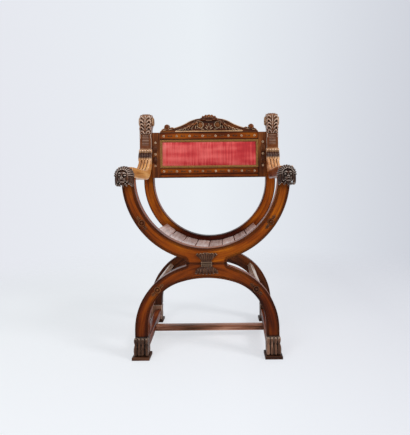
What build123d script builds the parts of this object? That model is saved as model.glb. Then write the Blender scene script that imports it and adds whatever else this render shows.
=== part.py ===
"""Carved walnut savonarola armchair: two X-shaped frames, a slatted seat, S-shaped arms and a padded back.

Millimetres, +Z up. The chair faces -Y, and its origin is on the floor under the middle of its box.
"""
from build123d import *
from math import asin, cos, degrees, pi, radians, sin, sqrt
import os

os.makedirs("parts", exist_ok=True)

# ---------------------------------------------------------------- driving sizes
# Frames: each is an upper arc (a U) that stands on a lower arch
frame_thick = 45.0            # front to back
frame_spacing = 430.0         # front face of one frame to the front face of the other
arc_inner_r = 275.0
arc_side_w = 45.0             # width of the arc at its upright sides
arc_outer_z = 688.0           # height of the outer circle's centre
arc_rise = 6.0                # inner circle's centre above the outer one, so the arc is thickest at the hub
hub_half_w = 77.5             # half width of the neck between arc and arch
hub_drop = 6.0                # the arc's lowest point down to the joint with the arch
notch_r = 11.0                # rounding of the notch at each side of the hub
moulding_inset = 6.0          # edge to the groove that runs along it
moulding_w = 3.0
moulding_deep = 2.0

# Front arch: each edge is a flat crown arc that turns down into a side arc and a straight leg
front_crown_r = 300.0
front_shoulder_x = 170.0
front_leg_in_x = 224.0
front_leg_w = 50.0
front_crown_thick = 56.0
front_soffit_r = 340.0
front_soffit_x = 110.0

# Rear arch: the rear legs stand a little wider and stouter
rear_crown_r = 330.0
rear_shoulder_x = 190.0
rear_leg_in_x = 240.0
rear_leg_w = 52.0
rear_crown_thick = 63.0
rear_soffit_r = 340.0
rear_soffit_x = 114.0

# Feet and plinths
plinth_thick = 12.0
plinth_w = 66.5
plinth_d = 65.0
plinth_edge = 1.5
plinth_inner_lap = 6.0        # how far a plinth stands out past the leg's inner face
plinth_lap = 12.0             # how far a plinth stands out past its frame's outer face
foot_h = 72.0
foot_flare = 6.0              # bulge of the foot past the leg, on the outer side
foot_flare_h = 27.0           # height of that bulge's curve
foot_bulge = 9.0              # bulge of the foot past the frame's outer face
foot_neck = 3.0               # height and depth of the quirk between foot and leg
toe_count = 4
toe_groove_w = 5.0
toe_h = 46.0
foot_tenon_w = 26.0           # tenon of the foot in the leg
foot_tenon_d = 18.0
foot_tenon_h = 22.0

# Stretchers
side_stretcher_w = 30.0
side_stretcher_h = 28.0
side_stretcher_z = 32.0       # underside
stretcher_set = 3.0           # from the legs' inner faces to the side stretchers' inner faces
cross_stretcher_h = 22.0
cross_stretcher_d = 34.0
cross_stretcher_z = 30.0      # underside
tenon_long = 14.0
tenon_shoulder = 6.0          # step from a member's face to its tenon
stretcher_bead = 3.0
stretcher_groove = 2.0

# Rails between the lower arches, behind the lower rosettes
arch_rail_w = 24.0            # along the arch
arch_rail_thick = 20.0        # square to the arch
arch_rail_out = 10.0          # from the middle of the arch outward to the middle of the rail
arch_rail_edge = 2.0

# Seat
slat_count = 8
slat_pitch = 11.2             # degrees about the arc's inner centre
slat_drop = 23.0              # arc's inner edge to the top of a slat
slat_w = 55.0
slat_thick = 16.0
slat_tenon_w = 40.0
slat_tenon_thick = 8.0
slat_edge = 1.5

# Arms: one S-shaped bar each, flat on the front arc, then up in front of the rear arc's end
arm_w = 56.0
arm_set = 1.0                 # arm's inner face outside the arc's inner edge
arm_thick = 40.0
arm_under_z = 690.0
bend_outer_r = 163.0
volute_r = 34.0
volute_z = 976.0
neck_fillet = 14.0
arm_edge = 2.0
rear_arc_rise = 62.0          # the rear arc's ends above the bend, behind the posts
reed_count = 4
reed_groove_w = 6.0
reed_run = 180.0              # length of the reeds along the level part of the arm
collar_top = 7.0              # degrees down from the bend's level radius
collar_mid = 14.0
collar_low = 34.0
collar_proud = 9.0
bead_band_proud = 4.0
collar_side_proud = 3.0
collar_wrap = 12.0            # how far the collar reaches back over the bar's sides
collar_bead_count = 5
collar_bead_w = 10.0
strip_rise = 4.0              # framed strip of ridges on the post: bend's centre to its lower edge
strip_h = 58.0
strip_w = 38.0
strip_deep = 3.0
ridge_count = 8
ridge_w = 6.0
leaf_long = 82.0              # acanthus leaf that climbs the post's front to the volute's crown
leaf_proud = 4.0
leaf_w = 46.0
boss_r = 22.0
boss_proud = 10.0
boss_top_r = 17.5

# Arm heads
head_reach = 62.0             # how far the head stands out in front of the frame
head_r = 30.0                 # round skull
head_sides = 16               # faces round it
head_z = 691.0                # centre height
head_long = 48.0              # skull, from the frame's face to the face's front
head_edge = 7.0
mane_count = 11
lock_w = 10.0
lock_thick = 10.0             # how deep a lock is set into the skull
lock_proud = 5.0              # how far it stands out round the skull
lock_root = 3.0               # frame's face to the lock's root, its crest and its tip
lock_crest = 12.0
lock_tip = 32.0
muzzle_w = 30.0
muzzle_h = 24.0
muzzle_drop = 9.0
muzzle_edge = 4.0
ear_rise = 20.0
ear_out = 19.0
ear_r = 7.0
ear_long = 10.0
head_tenon_w = 24.0
head_tenon_h = 11.0
head_tenon_long = 20.0
head_tenon_drop = 18.0        # arm's top to the tenon's middle

# Back
panel_thick = 26.0
panel_back_inset = 2.0        # panel's rear face to the post's rear face
panel_low_z = 703.0
panel_high_z = 921.0
top_rail_h = 36.0
bottom_rail_h = 47.0
stile_w = 40.0
rail_tenon_h = 20.0
rail_tenon_thick = 10.0
stile_tenon_long = 14.0       # tenons of the stiles in the posts
stile_tenon_z = (815.0, 883.0)
stile_tenon_h = (18.0, 34.0)
rail_moulding_z = 16.0        # groove above the bottom rail's lower edge
back_board_thick = 6.0
back_board_lap = 14.0         # how far the board laps over the panel's frame, at the back
pad_proud = 5.0               # crown of the pad in front of the panel's front face
pad_roll_r = 6.0
braid_w = 10.5
braid_thick = 3.5
braid_set = 0.5               # how far the braid stands out of the panel's front face
rail_rosette_count = 8
rail_rosette_gap = 62.5
rail_rosette_w = 13.0
rail_rosette_h = 4.0
top_rosette_drop = 18.0       # below the top rail's upper edge
low_rosette_rise = 30.5       # above the bottom rail's lower edge
stile_rosette_z = (760.0, 816.0, 872.0)

# Crest
crest_thick = 20.0
crest_half_w = 237.0
crest_end_h = 6.0
crest_edge = (                # right half of the crest's upper edge from its end to the shell: x, rise
    (222, 13),
    (186, 18),
    (153, 27),
    (120, 40),
    (92, 55),
    (66, 64),
    (38, 68),
)
crest_bead_half_w = 163.0     # bead along the foot of the crest
crest_bead_h = 8.0
crest_bead_proud = 4.0
crest_knob_x = 203.0
crest_knob_rise = 26.0
crest_knob_r = 15.0
medallion_x = 42.0
medallion_rise = 36.0
medallion_r = 14.0
medallion_proud = 5.0
crest_leaves = (              # leaves of the spray: x, rise, half length, half width, lean in degrees
    (68, 46, 17, 9, -58),
    (88, 36, 18, 9, -44),
    (110, 27, 19, 8, -34),
    (132, 19, 16, 6, -24),
)
crest_leaf_proud = 4.0
palmette_h = 32.0
palmette_half_w = 20.0
shell_rise = 57.0             # root of the shell's lobes, above the panel
shell_h = 32.0
shell_half_w = 43.0
shell_lobes = 7
shell_lobe_w = 12.0
shell_spread = 150.0          # degrees from the first lobe to the last
shell_proud = 6.0
crest_tenon_x = 120.0         # tenons of the crest in the top rail
crest_tenon_w = 40.0
crest_tenon_h = 16.0
crest_tenon_thick = 8.0

# Carved ornament of the frames
rosette_w = 20.0
rosette_proud = 6.0
rosette_leaf_long = 26.0
rosette_leaf_w = 15.0
rosette_leaf_proud = 3.0
upper_rosette_deg = 54.7      # place on the arc, in degrees from its lowest point
lower_rosette_x = 187.0
lower_rosette_slope = -45.3   # slope of the arch there, in degrees
fan_proud = 7.0
fan_petals = 5
fan_petal_w = 12.0
upper_fan_rise = 4.0          # root of each fan, above or below the hub's joint
upper_fan_long = 40.0
upper_fan_spread = 100.0      # degrees from the first petal to the last
lower_fan_drop = 10.0
lower_fan_long = 42.0
lower_fan_spread = 120.0
fan_band_w = 46.0
fan_band_h = 17.0

# Joinery and clearances
hub_tenon_w = 70.0            # tenon of each arc in its arch
hub_tenon_d = 15.0
hub_tenon_h = 22.0
arm_tenon_w = 26.0            # tenon of the front arc in the arm
arm_tenon_d = 20.0
arm_tenon_h = 13.0
screw_r = 3.0
screw_head_r = 6.0
screw_head_h = 4.0
post_screw_grip = 24.0        # length of the screws in the posts
post_screw_rise = 30.0
fit = 0.15                    # clearance round tenons and screws
soft_gap = 0.3                # clearance round the pad

# ---------------------------------------------------------------- sizes that follow
total_depth = head_reach + frame_spacing + frame_thick + plinth_lap
arc_outer_r = arc_inner_r + arc_side_w
arc_inner_z = arc_outer_z + arc_rise
hub_joint_z = arc_outer_z - arc_outer_r - hub_drop
slat_top_r = arc_inner_r + slat_drop
arm_inner_x = arc_inner_r + arm_set
front_y = head_reach - total_depth / 2
rear_y = front_y + frame_spacing
front_back_y = front_y + frame_thick
rear_back_y = rear_y + frame_thick
leg_end_z = plinth_thick + foot_h
arm_x = arm_inner_x + arm_w / 2
arm_top_z = arm_under_z + arm_thick
bend_inner_r = bend_outer_r - arm_thick
bend_y = rear_y - bend_outer_r
bend_z = arm_under_z + bend_outer_r
rear_arc_top_z = bend_z + rear_arc_rise
post_screw_z = bend_z + post_screw_rise
post_front_y = bend_y + bend_inner_r
volute_y = post_front_y + volute_r
panel_back_y = rear_y - panel_back_inset
panel_front_y = panel_back_y - panel_thick
arc_x = (arc_inner_r + arc_outer_r) / 2
rail_mid_y = (panel_front_y + panel_back_y) / 2
slat_long = frame_spacing - frame_thick
stretcher_mid_z = side_stretcher_z + side_stretcher_h / 2
stretcher_tenon_w = side_stretcher_w - 2 * tenon_shoulder
stretcher_tenon_h = side_stretcher_h - 2 * tenon_shoulder
cross_y = (front_back_y + rear_y) / 2
cross_x = (front_leg_in_x + rear_leg_in_x) / 2 + stretcher_set
stretcher_splay = rear_leg_in_x - front_leg_in_x
inner_half_w = arm_inner_x - stile_w
window_low_z = panel_low_z + bottom_rail_h
window_high_z = panel_high_z - top_rail_h
window_mid_z = (window_low_z + window_high_z) / 2
window_h = window_high_z - window_low_z
cross_tenon_d = cross_stretcher_d - 2 * tenon_shoulder
cross_tenon_h = cross_stretcher_h - 2 * tenon_shoulder
arch_rail_tenon_w = arch_rail_w - 2 * tenon_shoulder
arch_rail_tenon_h = arch_rail_thick - 2 * tenon_shoulder
sides = {"left": -1, "right": 1}


def facing(y):
    """A sketch plane across the chair at depth y, seen from the front: x to the right, y up."""
    return Plane.XZ.offset(-y)


def beside(x):
    """A sketch plane along the chair at x: x to the back, y up."""
    return Plane.YZ.offset(x)


def save(piece, label):
    """Label a finished piece and write its STEP file."""
    piece.part.label = label
    export_step(piece.part, f"parts/{label}.step")


# ---------------------------------------------------------------- frame outlines
def under_arch(top_z, crown_r, shoulder_x, leg_x, end_z):
    """The area under one edge of an arch: crown arc, tangent side arcs, straight legs, cut at end_z."""
    side_x, side_z, side_r = side_arc(top_z, crown_r, shoulder_x, leg_x)
    low_z = min(side_z, end_z) - frame_thick
    crown_z = top_z - crown_r
    turn = degrees(asin(shoulder_x / crown_r))
    with BuildSketch() as area:
        with BuildLine():
            CenterArc((0, crown_z), crown_r, 90 - turn, 2 * turn)
            CenterArc((side_x, side_z), side_r, 0, 90 - turn)
            CenterArc((-side_x, side_z), side_r, 90 + turn, 90 - turn)
            Polyline((leg_x, side_z), (leg_x, low_z), (-leg_x, low_z), (-leg_x, side_z))
        make_face()
        with Locations((0, end_z)):
            Rectangle(3 * leg_x, end_z - low_z + 1, align=(Align.CENTER, Align.MAX), mode=Mode.SUBTRACT)
    return area.sketch


def side_arc(top_z, crown_r, shoulder_x, leg_x):
    """Centre and radius of the side arc of one edge of an arch."""
    lean = shoulder_x / crown_r
    side_r = (leg_x - shoulder_x) / (1 - lean)
    return (crown_r - side_r) * lean, top_z - crown_r + (crown_r - side_r) * sqrt(1 - lean ** 2), side_r


def lower_rosette_height():
    """Height of the front arch's rosettes: midway between its two edges at lower_rosette_x."""
    x, z, r = side_arc(hub_joint_z, *front_outer)
    outer_z = z + sqrt(r ** 2 - (lower_rosette_x - x) ** 2)
    x, z, r = side_arc(*front_inner)
    inner_z = z + sqrt(r ** 2 - (lower_rosette_x - x) ** 2)
    return (outer_z + inner_z) / 2


def upper_outline(end_z):
    """The U in front view, with its straight ends cut at end_z and its half of the hub."""
    with BuildSketch() as outline:
        with Locations((0, arc_outer_z)):
            Circle(arc_outer_r)
            Rectangle(3 * arc_outer_r, 2 * arc_outer_r, align=(Align.CENTER, Align.MIN), mode=Mode.SUBTRACT)
            Rectangle(2 * arc_outer_r, end_z - arc_outer_z, align=(Align.CENTER, Align.MIN))
        with Locations((0, hub_joint_z)):
            Rectangle(2 * hub_half_w, frame_thick, align=(Align.CENTER, Align.MIN))
        with Locations((0, arc_inner_z)):
            Circle(arc_inner_r, mode=Mode.SUBTRACT)
            Rectangle(2 * arc_inner_r, arc_outer_r, align=(Align.CENTER, Align.MIN), mode=Mode.SUBTRACT)
        hub_ends = [v for v in outline.vertices() if abs(abs(v.X) - hub_half_w) < 0.01]
        corners = [v for v in hub_ends if v.Y > hub_joint_z + 1]
        fillet(corners, radius=notch_r)
    return outline.sketch


def lower_outline(outer, inner, end_z):
    """The arch in front view, with its legs cut at end_z and its half of the hub."""
    with BuildSketch() as outline:
        add(under_arch(hub_joint_z, *outer, end_z))
        with Locations((0, hub_joint_z)):
            Rectangle(2 * hub_half_w, frame_thick / 2, align=(Align.CENTER, Align.MAX))
        add(under_arch(*inner, end_z), mode=Mode.SUBTRACT)
        hub_ends = [v for v in outline.vertices() if abs(abs(v.X) - hub_half_w) < 0.01]
        corners = [v for v in hub_ends if v.Y < hub_joint_z - 1]
        fillet(corners, radius=notch_r * 0.8)
    return outline.sketch


def moulding(outer, inner, arc_end_z):
    """The groove that follows every edge of a frame, as a flat band."""
    with BuildSketch() as whole:
        add(upper_outline(arc_end_z + frame_thick))
        add(lower_outline(outer, inner, leg_end_z - frame_thick))
    with BuildSketch() as band:
        add(whole.sketch)
        offset(amount=-moulding_inset, mode=Mode.REPLACE)
    with BuildSketch() as core:
        add(whole.sketch)
        offset(amount=-moulding_inset - moulding_w, mode=Mode.REPLACE)
    with BuildSketch() as groove:
        add(band.sketch)
        add(core.sketch, mode=Mode.SUBTRACT)
    return groove.sketch


def cut_moulding(frame):
    """Cut the moulding groove into the front face of one piece of a frame."""
    groove = moulding(frame["outer"], frame["inner"], frame["arc_end"])
    with BuildSketch(facing(frame["y"] + moulding_deep)) as band:
        add(groove)
    extrude(band.sketch, amount=moulding_deep, mode=Mode.SUBTRACT)


def slat_angle(index):
    """Angle of a slat from straight down, positive to the right."""
    return radians((index - (slat_count - 1) / 2) * slat_pitch)


def slat_plane(index, y):
    """The plane of a slat's cross-section: its origin is the middle of the slat's top face."""
    turn = slat_angle(index)
    origin = (slat_top_r * sin(turn), y, arc_inner_z - slat_top_r * cos(turn))
    return Plane(origin=origin, x_dir=(cos(turn), 0, sin(turn)), z_dir=(0, -1, 0))


def cut_slat_mortises(y):
    """Cut the slat mortises into a frame face. y is the deep end of the mortises."""
    for index in range(slat_count):
        with BuildSketch(slat_plane(index, y)) as mouth:
            with Locations((0, -slat_thick / 2)):
                Rectangle(slat_tenon_w + 2 * fit, slat_tenon_thick + 2 * fit)
        extrude(mouth.sketch, amount=tenon_long + 2 * fit, mode=Mode.SUBTRACT)


def arch_rail_plane(side, y):
    """The plane of an arch rail's cross-section: its x runs along the arch, its y outward."""
    turn = radians(lower_rosette_slope)
    x = lower_rosette_x - arch_rail_out * sin(turn)
    z = lower_rosette_z + arch_rail_out * cos(turn)
    return Plane(origin=(side * x, y, z), x_dir=(cos(turn), 0, side * sin(turn)), z_dir=(0, -1, 0))


def cut_rail_mortises(y):
    """Cut the mortises of the arch rails into a frame face. y is the deep end of the mortises."""
    for side in (-1, 1):
        with BuildSketch(arch_rail_plane(side, y)) as mouth:
            Rectangle(arch_rail_tenon_w + 2 * fit, arch_rail_tenon_h + 2 * fit)
        extrude(mouth.sketch, amount=tenon_long + 2 * fit, mode=Mode.SUBTRACT)


def peg(x, y, z, width, depth, height, spare=0.0):
    """A tenon on the joint at z, upwards, or downwards where height is negative. With spare, its mortise."""
    reach = abs(height) + 2 * spare
    way = 1 if height > 0 else -1
    with Locations((x, y, z + way * reach / 2)):
        if spare:
            Box(width + 2 * spare, depth + 2 * spare, reach, mode=Mode.SUBTRACT)
        else:
            Box(width, depth, reach)


def drill(points, direction, depth, radius):
    """Drill blind holes from points along direction."""
    for point in points:
        with BuildSketch(Plane(origin=point, z_dir=direction)) as mouth:
            Circle(radius + fit)
        extrude(mouth.sketch, amount=depth, mode=Mode.SUBTRACT)


def leaf_points(centre, half_long, half_w, lean):
    """A pointed leaf's outline about its centre: lean is its direction in degrees above +X."""
    along = (cos(radians(lean)), sin(radians(lean)))
    shape = ((-1, 0), (-0.55, 0.8), (0.1, 1), (0.65, 0.55), (1, 0), (0.65, -0.55), (0.1, -1), (-0.55, -0.8))
    return [
        (
            centre[0] + a * half_long * along[0] - b * half_w * along[1],
            centre[1] + a * half_long * along[1] + b * half_w * along[0],
        )
        for a, b in shape
    ]


front_outer = (front_crown_r, front_shoulder_x, front_leg_in_x + front_leg_w)
front_inner = (hub_joint_z - front_crown_thick, front_soffit_r, front_soffit_x, front_leg_in_x)
rear_outer = (rear_crown_r, rear_shoulder_x, rear_leg_in_x + rear_leg_w)
rear_inner = (hub_joint_z - rear_crown_thick, rear_soffit_r, rear_soffit_x, rear_leg_in_x)

lower_rosette_z = lower_rosette_height()

frames = {
    "front": {"y": front_y, "outer": front_outer, "inner": front_inner, "arc_end": arm_under_z},
    "rear": {"y": rear_y, "outer": rear_outer, "inner": rear_inner, "arc_end": rear_arc_top_z},
}

# ---------------------------------------------------------------- upper arcs and lower arches
for name, frame in frames.items():
    y_front = frame["y"]
    y_back = y_front + frame_thick
    y_mid = y_front + frame_thick / 2
    with BuildPart() as upper_arc:
        with BuildSketch(facing(y_back)):
            add(upper_outline(frame["arc_end"]))
        extrude(amount=frame_thick)
        peg(0, y_mid, hub_joint_z, hub_tenon_w, hub_tenon_d, -hub_tenon_h)
        if name == "front":
            cut_moulding(frame)
            cut_slat_mortises(y_back)
            for side in (-1, 1):
                peg(side * arc_x, y_mid, arm_under_z, arm_tenon_w, arm_tenon_d, arm_tenon_h)
        else:
            cut_slat_mortises(y_front + tenon_long + 2 * fit)
            screws = [(side * arc_x, y_back, post_screw_z) for side in (-1, 1)]
            drill(screws, (0, -1, 0), frame_thick, screw_r)
            drill(screws, (0, -1, 0), screw_head_h, screw_head_r)
    save(upper_arc, f"{name}_upper_arc")

    leg_x = (frame["outer"][2] + frame["inner"][3]) / 2
    with BuildPart() as lower_arch:
        with BuildSketch(facing(y_back)):
            add(lower_outline(frame["outer"], frame["inner"], leg_end_z))
        extrude(amount=frame_thick)
        if name == "front":
            cut_moulding(frame)
        peg(0, y_mid, hub_joint_z, hub_tenon_w, hub_tenon_d, -hub_tenon_h, spare=fit)
        cut_rail_mortises(y_back if name == "front" else y_front + tenon_long + 2 * fit)
        for side in (-1, 1):
            peg(side * leg_x, y_mid, leg_end_z, foot_tenon_w, foot_tenon_d, foot_tenon_h, spare=fit)
    save(lower_arch, f"{name}_lower_arch")

# ---------------------------------------------------------------- seat slats
for index in range(slat_count):
    with BuildPart() as slat:
        with BuildSketch(slat_plane(index, rear_y)):
            Rectangle(slat_w, slat_thick, align=(Align.CENTER, Align.MAX))
        extrude(amount=slat_long)
        top = slat.faces().sort_by(Axis((0, 0, 0), slat_plane(index, 0).y_dir))[-1]
        chamfer(top.edges().filter_by(Axis.Y), length=slat_edge)
        with BuildSketch(slat_plane(index, rear_y + tenon_long)):
            with Locations((0, -slat_thick / 2)):
                Rectangle(slat_tenon_w, slat_tenon_thick)
        extrude(amount=slat_long + 2 * tenon_long)
    save(slat, f"seat_slat_{index + 1}")


# ---------------------------------------------------------------- rails between the lower arches
for side_name, side in sides.items():
    with BuildPart() as arch_rail:
        with BuildSketch(arch_rail_plane(side, rear_y)):
            Rectangle(arch_rail_w, arch_rail_thick)
        extrude(amount=slat_long)
        chamfer(arch_rail.edges().filter_by(Axis.Y), length=arch_rail_edge)
        with BuildSketch(arch_rail_plane(side, rear_y + tenon_long)):
            Rectangle(arch_rail_tenon_w, arch_rail_tenon_h)
        extrude(amount=slat_long + 2 * tenon_long)
    save(arch_rail, f"arch_rail_{side_name}")


# ---------------------------------------------------------------- feet and plinths
def foot(side, frame, faces_front):
    """A scroll foot under one leg, its toes turned away from the seat."""
    leg_in = frame["inner"][3]
    leg_out = frame["outer"][2]
    width = leg_out - leg_in
    middle_x = side * (leg_in + leg_out) / 2
    middle_y = frame["y"] + frame_thick / 2
    toe_way = -1 if faces_front else 1
    inner_face_y = middle_y - toe_way * frame_thick / 2
    outer_face_y = middle_y + toe_way * frame_thick / 2
    toe_y = outer_face_y + toe_way * foot_bulge
    body_top_z = leg_end_z - foot_neck
    flare_z = leg_end_z - foot_flare_h
    out_x = side * leg_out
    flare_x = side * (leg_out + foot_flare)
    with BuildPart() as piece:
        with BuildSketch(facing(toe_y)):
            with BuildLine():
                Polyline(
                    (out_x, body_top_z),
                    (side * leg_in, body_top_z),
                    (side * leg_in, plinth_thick),
                    (flare_x, plinth_thick),
                    (flare_x, flare_z),
                )
                TangentArc((flare_x, flare_z), (out_x, body_top_z), tangent=(0, 1))
            make_face()
        extrude(amount=2 * foot_bulge + frame_thick, both=True)
        with BuildSketch(beside(middle_x)):
            with BuildLine():
                Polyline(
                    (outer_face_y, body_top_z),
                    (inner_face_y, body_top_z),
                    (inner_face_y, plinth_thick),
                    (outer_face_y, plinth_thick),
                )
                ThreePointArc(
                    (outer_face_y, plinth_thick),
                    (toe_y - toe_way * foot_bulge * 0.25, plinth_thick + foot_bulge * 0.4),
                    (toe_y, plinth_thick + foot_bulge),
                )
                Line((toe_y, plinth_thick + foot_bulge), (toe_y, flare_z))
                TangentArc((toe_y, flare_z), (outer_face_y, body_top_z), tangent=(0, 1))
            make_face()
        extrude(amount=width, both=True, mode=Mode.INTERSECT)
        spread = (width + foot_flare) / toe_count
        with BuildSketch(Plane.XY.offset(plinth_thick)):
            with Locations(*[(side * (leg_in + spread * groove), toe_y) for groove in range(1, toe_count)]):
                Rectangle(toe_groove_w, toe_groove_w, rotation=45)
        extrude(amount=toe_h, mode=Mode.SUBTRACT)
        with Locations((middle_x, middle_y, leg_end_z)):
            neck = (width - 2 * foot_neck, frame_thick - 2 * foot_neck, 2 * foot_neck)
            Box(*neck, align=(Align.CENTER, Align.CENTER, Align.MAX))
        peg(middle_x, middle_y, leg_end_z, foot_tenon_w, foot_tenon_d, foot_tenon_h)
        with BuildSketch(facing(inner_face_y)):
            with Locations((side * (leg_in + stretcher_set + side_stretcher_w / 2), stretcher_mid_z)):
                Rectangle(stretcher_tenon_w + 2 * fit, stretcher_tenon_h + 2 * fit)
        extrude(amount=-toe_way * (tenon_long + 2 * fit), mode=Mode.SUBTRACT)
    return piece


for name, frame in frames.items():
    for side_name, side in sides.items():
        save(foot(side, frame, name == "front"), f"{name}_foot_{side_name}")
        toe_way = -1 if name == "front" else 1
        plinth_out_y = frame["y"] + frame_thick / 2 + toe_way * (frame_thick / 2 + plinth_lap)
        plinth_x = side * (frame["inner"][3] - plinth_inner_lap + plinth_w / 2)
        with BuildPart() as plinth:
            with Locations((plinth_x, plinth_out_y - toe_way * plinth_d / 2, 0)):
                Box(plinth_w, plinth_d, plinth_thick, align=(Align.CENTER, Align.CENTER, Align.MIN))
            chamfer(plinth.faces().sort_by(Axis.Z)[-1].edges(), length=plinth_edge)
        save(plinth, f"{name}_plinth_{side_name}")


# ---------------------------------------------------------------- stretchers
def stretcher_x(name):
    """Middle of a side stretcher where it meets the feet of one frame."""
    return frames[name]["inner"][3] + stretcher_set + side_stretcher_w / 2


for side_name, side in sides.items():
    half = side_stretcher_w / 2
    front_x = stretcher_x("front")
    rear_x = stretcher_x("rear")
    corners = [
        (front_x - half, front_back_y),
        (front_x + half, front_back_y),
        (rear_x + half, rear_y),
        (rear_x - half, rear_y),
    ]
    with BuildPart() as side_stretcher:
        with BuildSketch(Plane.XY.offset(side_stretcher_z)):
            with BuildLine():
                Polyline(*[(side * x, y) for x, y in corners], close=True)
            make_face()
        extrude(amount=side_stretcher_h)
        upper = side_stretcher.faces().sort_by(Axis.Z)[-1]
        long_edges = upper.edges().filter_by(lambda edge: edge.length > 2 * side_stretcher_w)
        chamfer(long_edges, length=stretcher_bead)
        for x, y, way in ((front_x, front_back_y, 1), (rear_x, rear_y, -1)):
            with BuildSketch(facing(y)):
                with Locations((side * x, stretcher_mid_z)):
                    Rectangle(stretcher_tenon_w, stretcher_tenon_h)
            extrude(amount=way * tenon_long)
        with BuildSketch(beside(side * (cross_x - tenon_shoulder))):
            with Locations((cross_y, cross_stretcher_z + cross_stretcher_h / 2)):
                Rectangle(cross_tenon_d + 2 * fit, cross_tenon_h + 2 * fit)
        extrude(amount=side * (tenon_shoulder + tenon_long + 2 * fit), mode=Mode.SUBTRACT)
    save(side_stretcher, f"side_stretcher_{side_name}")

with BuildPart() as cross_stretcher:
    with BuildSketch(beside(0)) as section:
        with Locations((cross_y, cross_stretcher_z)):
            Rectangle(cross_stretcher_d, cross_stretcher_h, align=(Align.CENTER, Align.MIN))
        for way in (-1, 1):
            for level in (0.3, 0.68):
                groove_z = cross_stretcher_z + level * cross_stretcher_h
                with Locations((cross_y + way * cross_stretcher_d / 2, groove_z)):
                    Rectangle(2 * stretcher_groove, 2 * stretcher_groove, rotation=45, mode=Mode.SUBTRACT)
        crown = [v for v in section.vertices() if v.Y > cross_stretcher_z + cross_stretcher_h - 0.01]
        chamfer(crown, length=stretcher_bead)
    extrude(amount=cross_x + stretcher_splay, both=True)
    for side in (-1, 1):
        slant = Plane(origin=(side * cross_x, cross_y, 0), z_dir=(side * slat_long, -stretcher_splay, 0))
        split(bisect_by=slant, keep=Keep.BOTTOM)
    with BuildSketch(beside(-cross_x - tenon_long)):
        with Locations((cross_y, cross_stretcher_z + cross_stretcher_h / 2)):
            Rectangle(cross_tenon_d, cross_tenon_h)
    extrude(amount=2 * (cross_x + tenon_long))
save(cross_stretcher, "cross_stretcher")


# ---------------------------------------------------------------- arms
def bend_point(radius, drop):
    """A point of the arm's side view: on a circle round the bend's centre, drop degrees below level."""
    return (bend_y + radius * cos(radians(drop)), bend_z - radius * sin(radians(drop)))


def volute_face(x, way):
    """The plane of a volute's side face at x, seen from the side that way points to."""
    return Plane(origin=(x, volute_y, volute_z), x_dir=(0, 1, 0), z_dir=(way, 0, 0))


def post_leaf(middle_x):
    """The acanthus leaf that climbs the post's front and curls over the volute."""
    tip_z = volute_z + volute_r
    root_z = tip_z - leaf_long
    shape = ((0, 0), (0.42, 0.16), (0.3, 0.3), (0.48, 0.46), (0.36, 0.58), (0.5, 0.76), (0.3, 0.92))
    right = [(middle_x + a * leaf_w, root_z + b * leaf_long) for a, b in shape]
    left = [(middle_x - a * leaf_w, root_z + b * leaf_long) for a, b in reversed(shape[1:])]
    with BuildPart() as leaf:
        with BuildSketch(facing(post_front_y - leaf_proud)):
            with BuildLine():
                Polyline(*right, (middle_x, tip_z), *left, close=True)
            make_face()
        extrude(amount=-volute_r)
        with BuildSketch(beside(middle_x)):
            with Locations((volute_y, volute_z)):
                Circle(volute_r + leaf_proud)
                Circle(volute_r - leaf_proud, mode=Mode.SUBTRACT)
            with Locations((post_front_y - leaf_proud, volute_z)):
                Rectangle(2 * leaf_proud, leaf_long, align=(Align.MIN, Align.MAX))
        extrude(amount=leaf_w, both=True, mode=Mode.INTERSECT)
    return leaf.part


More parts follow.
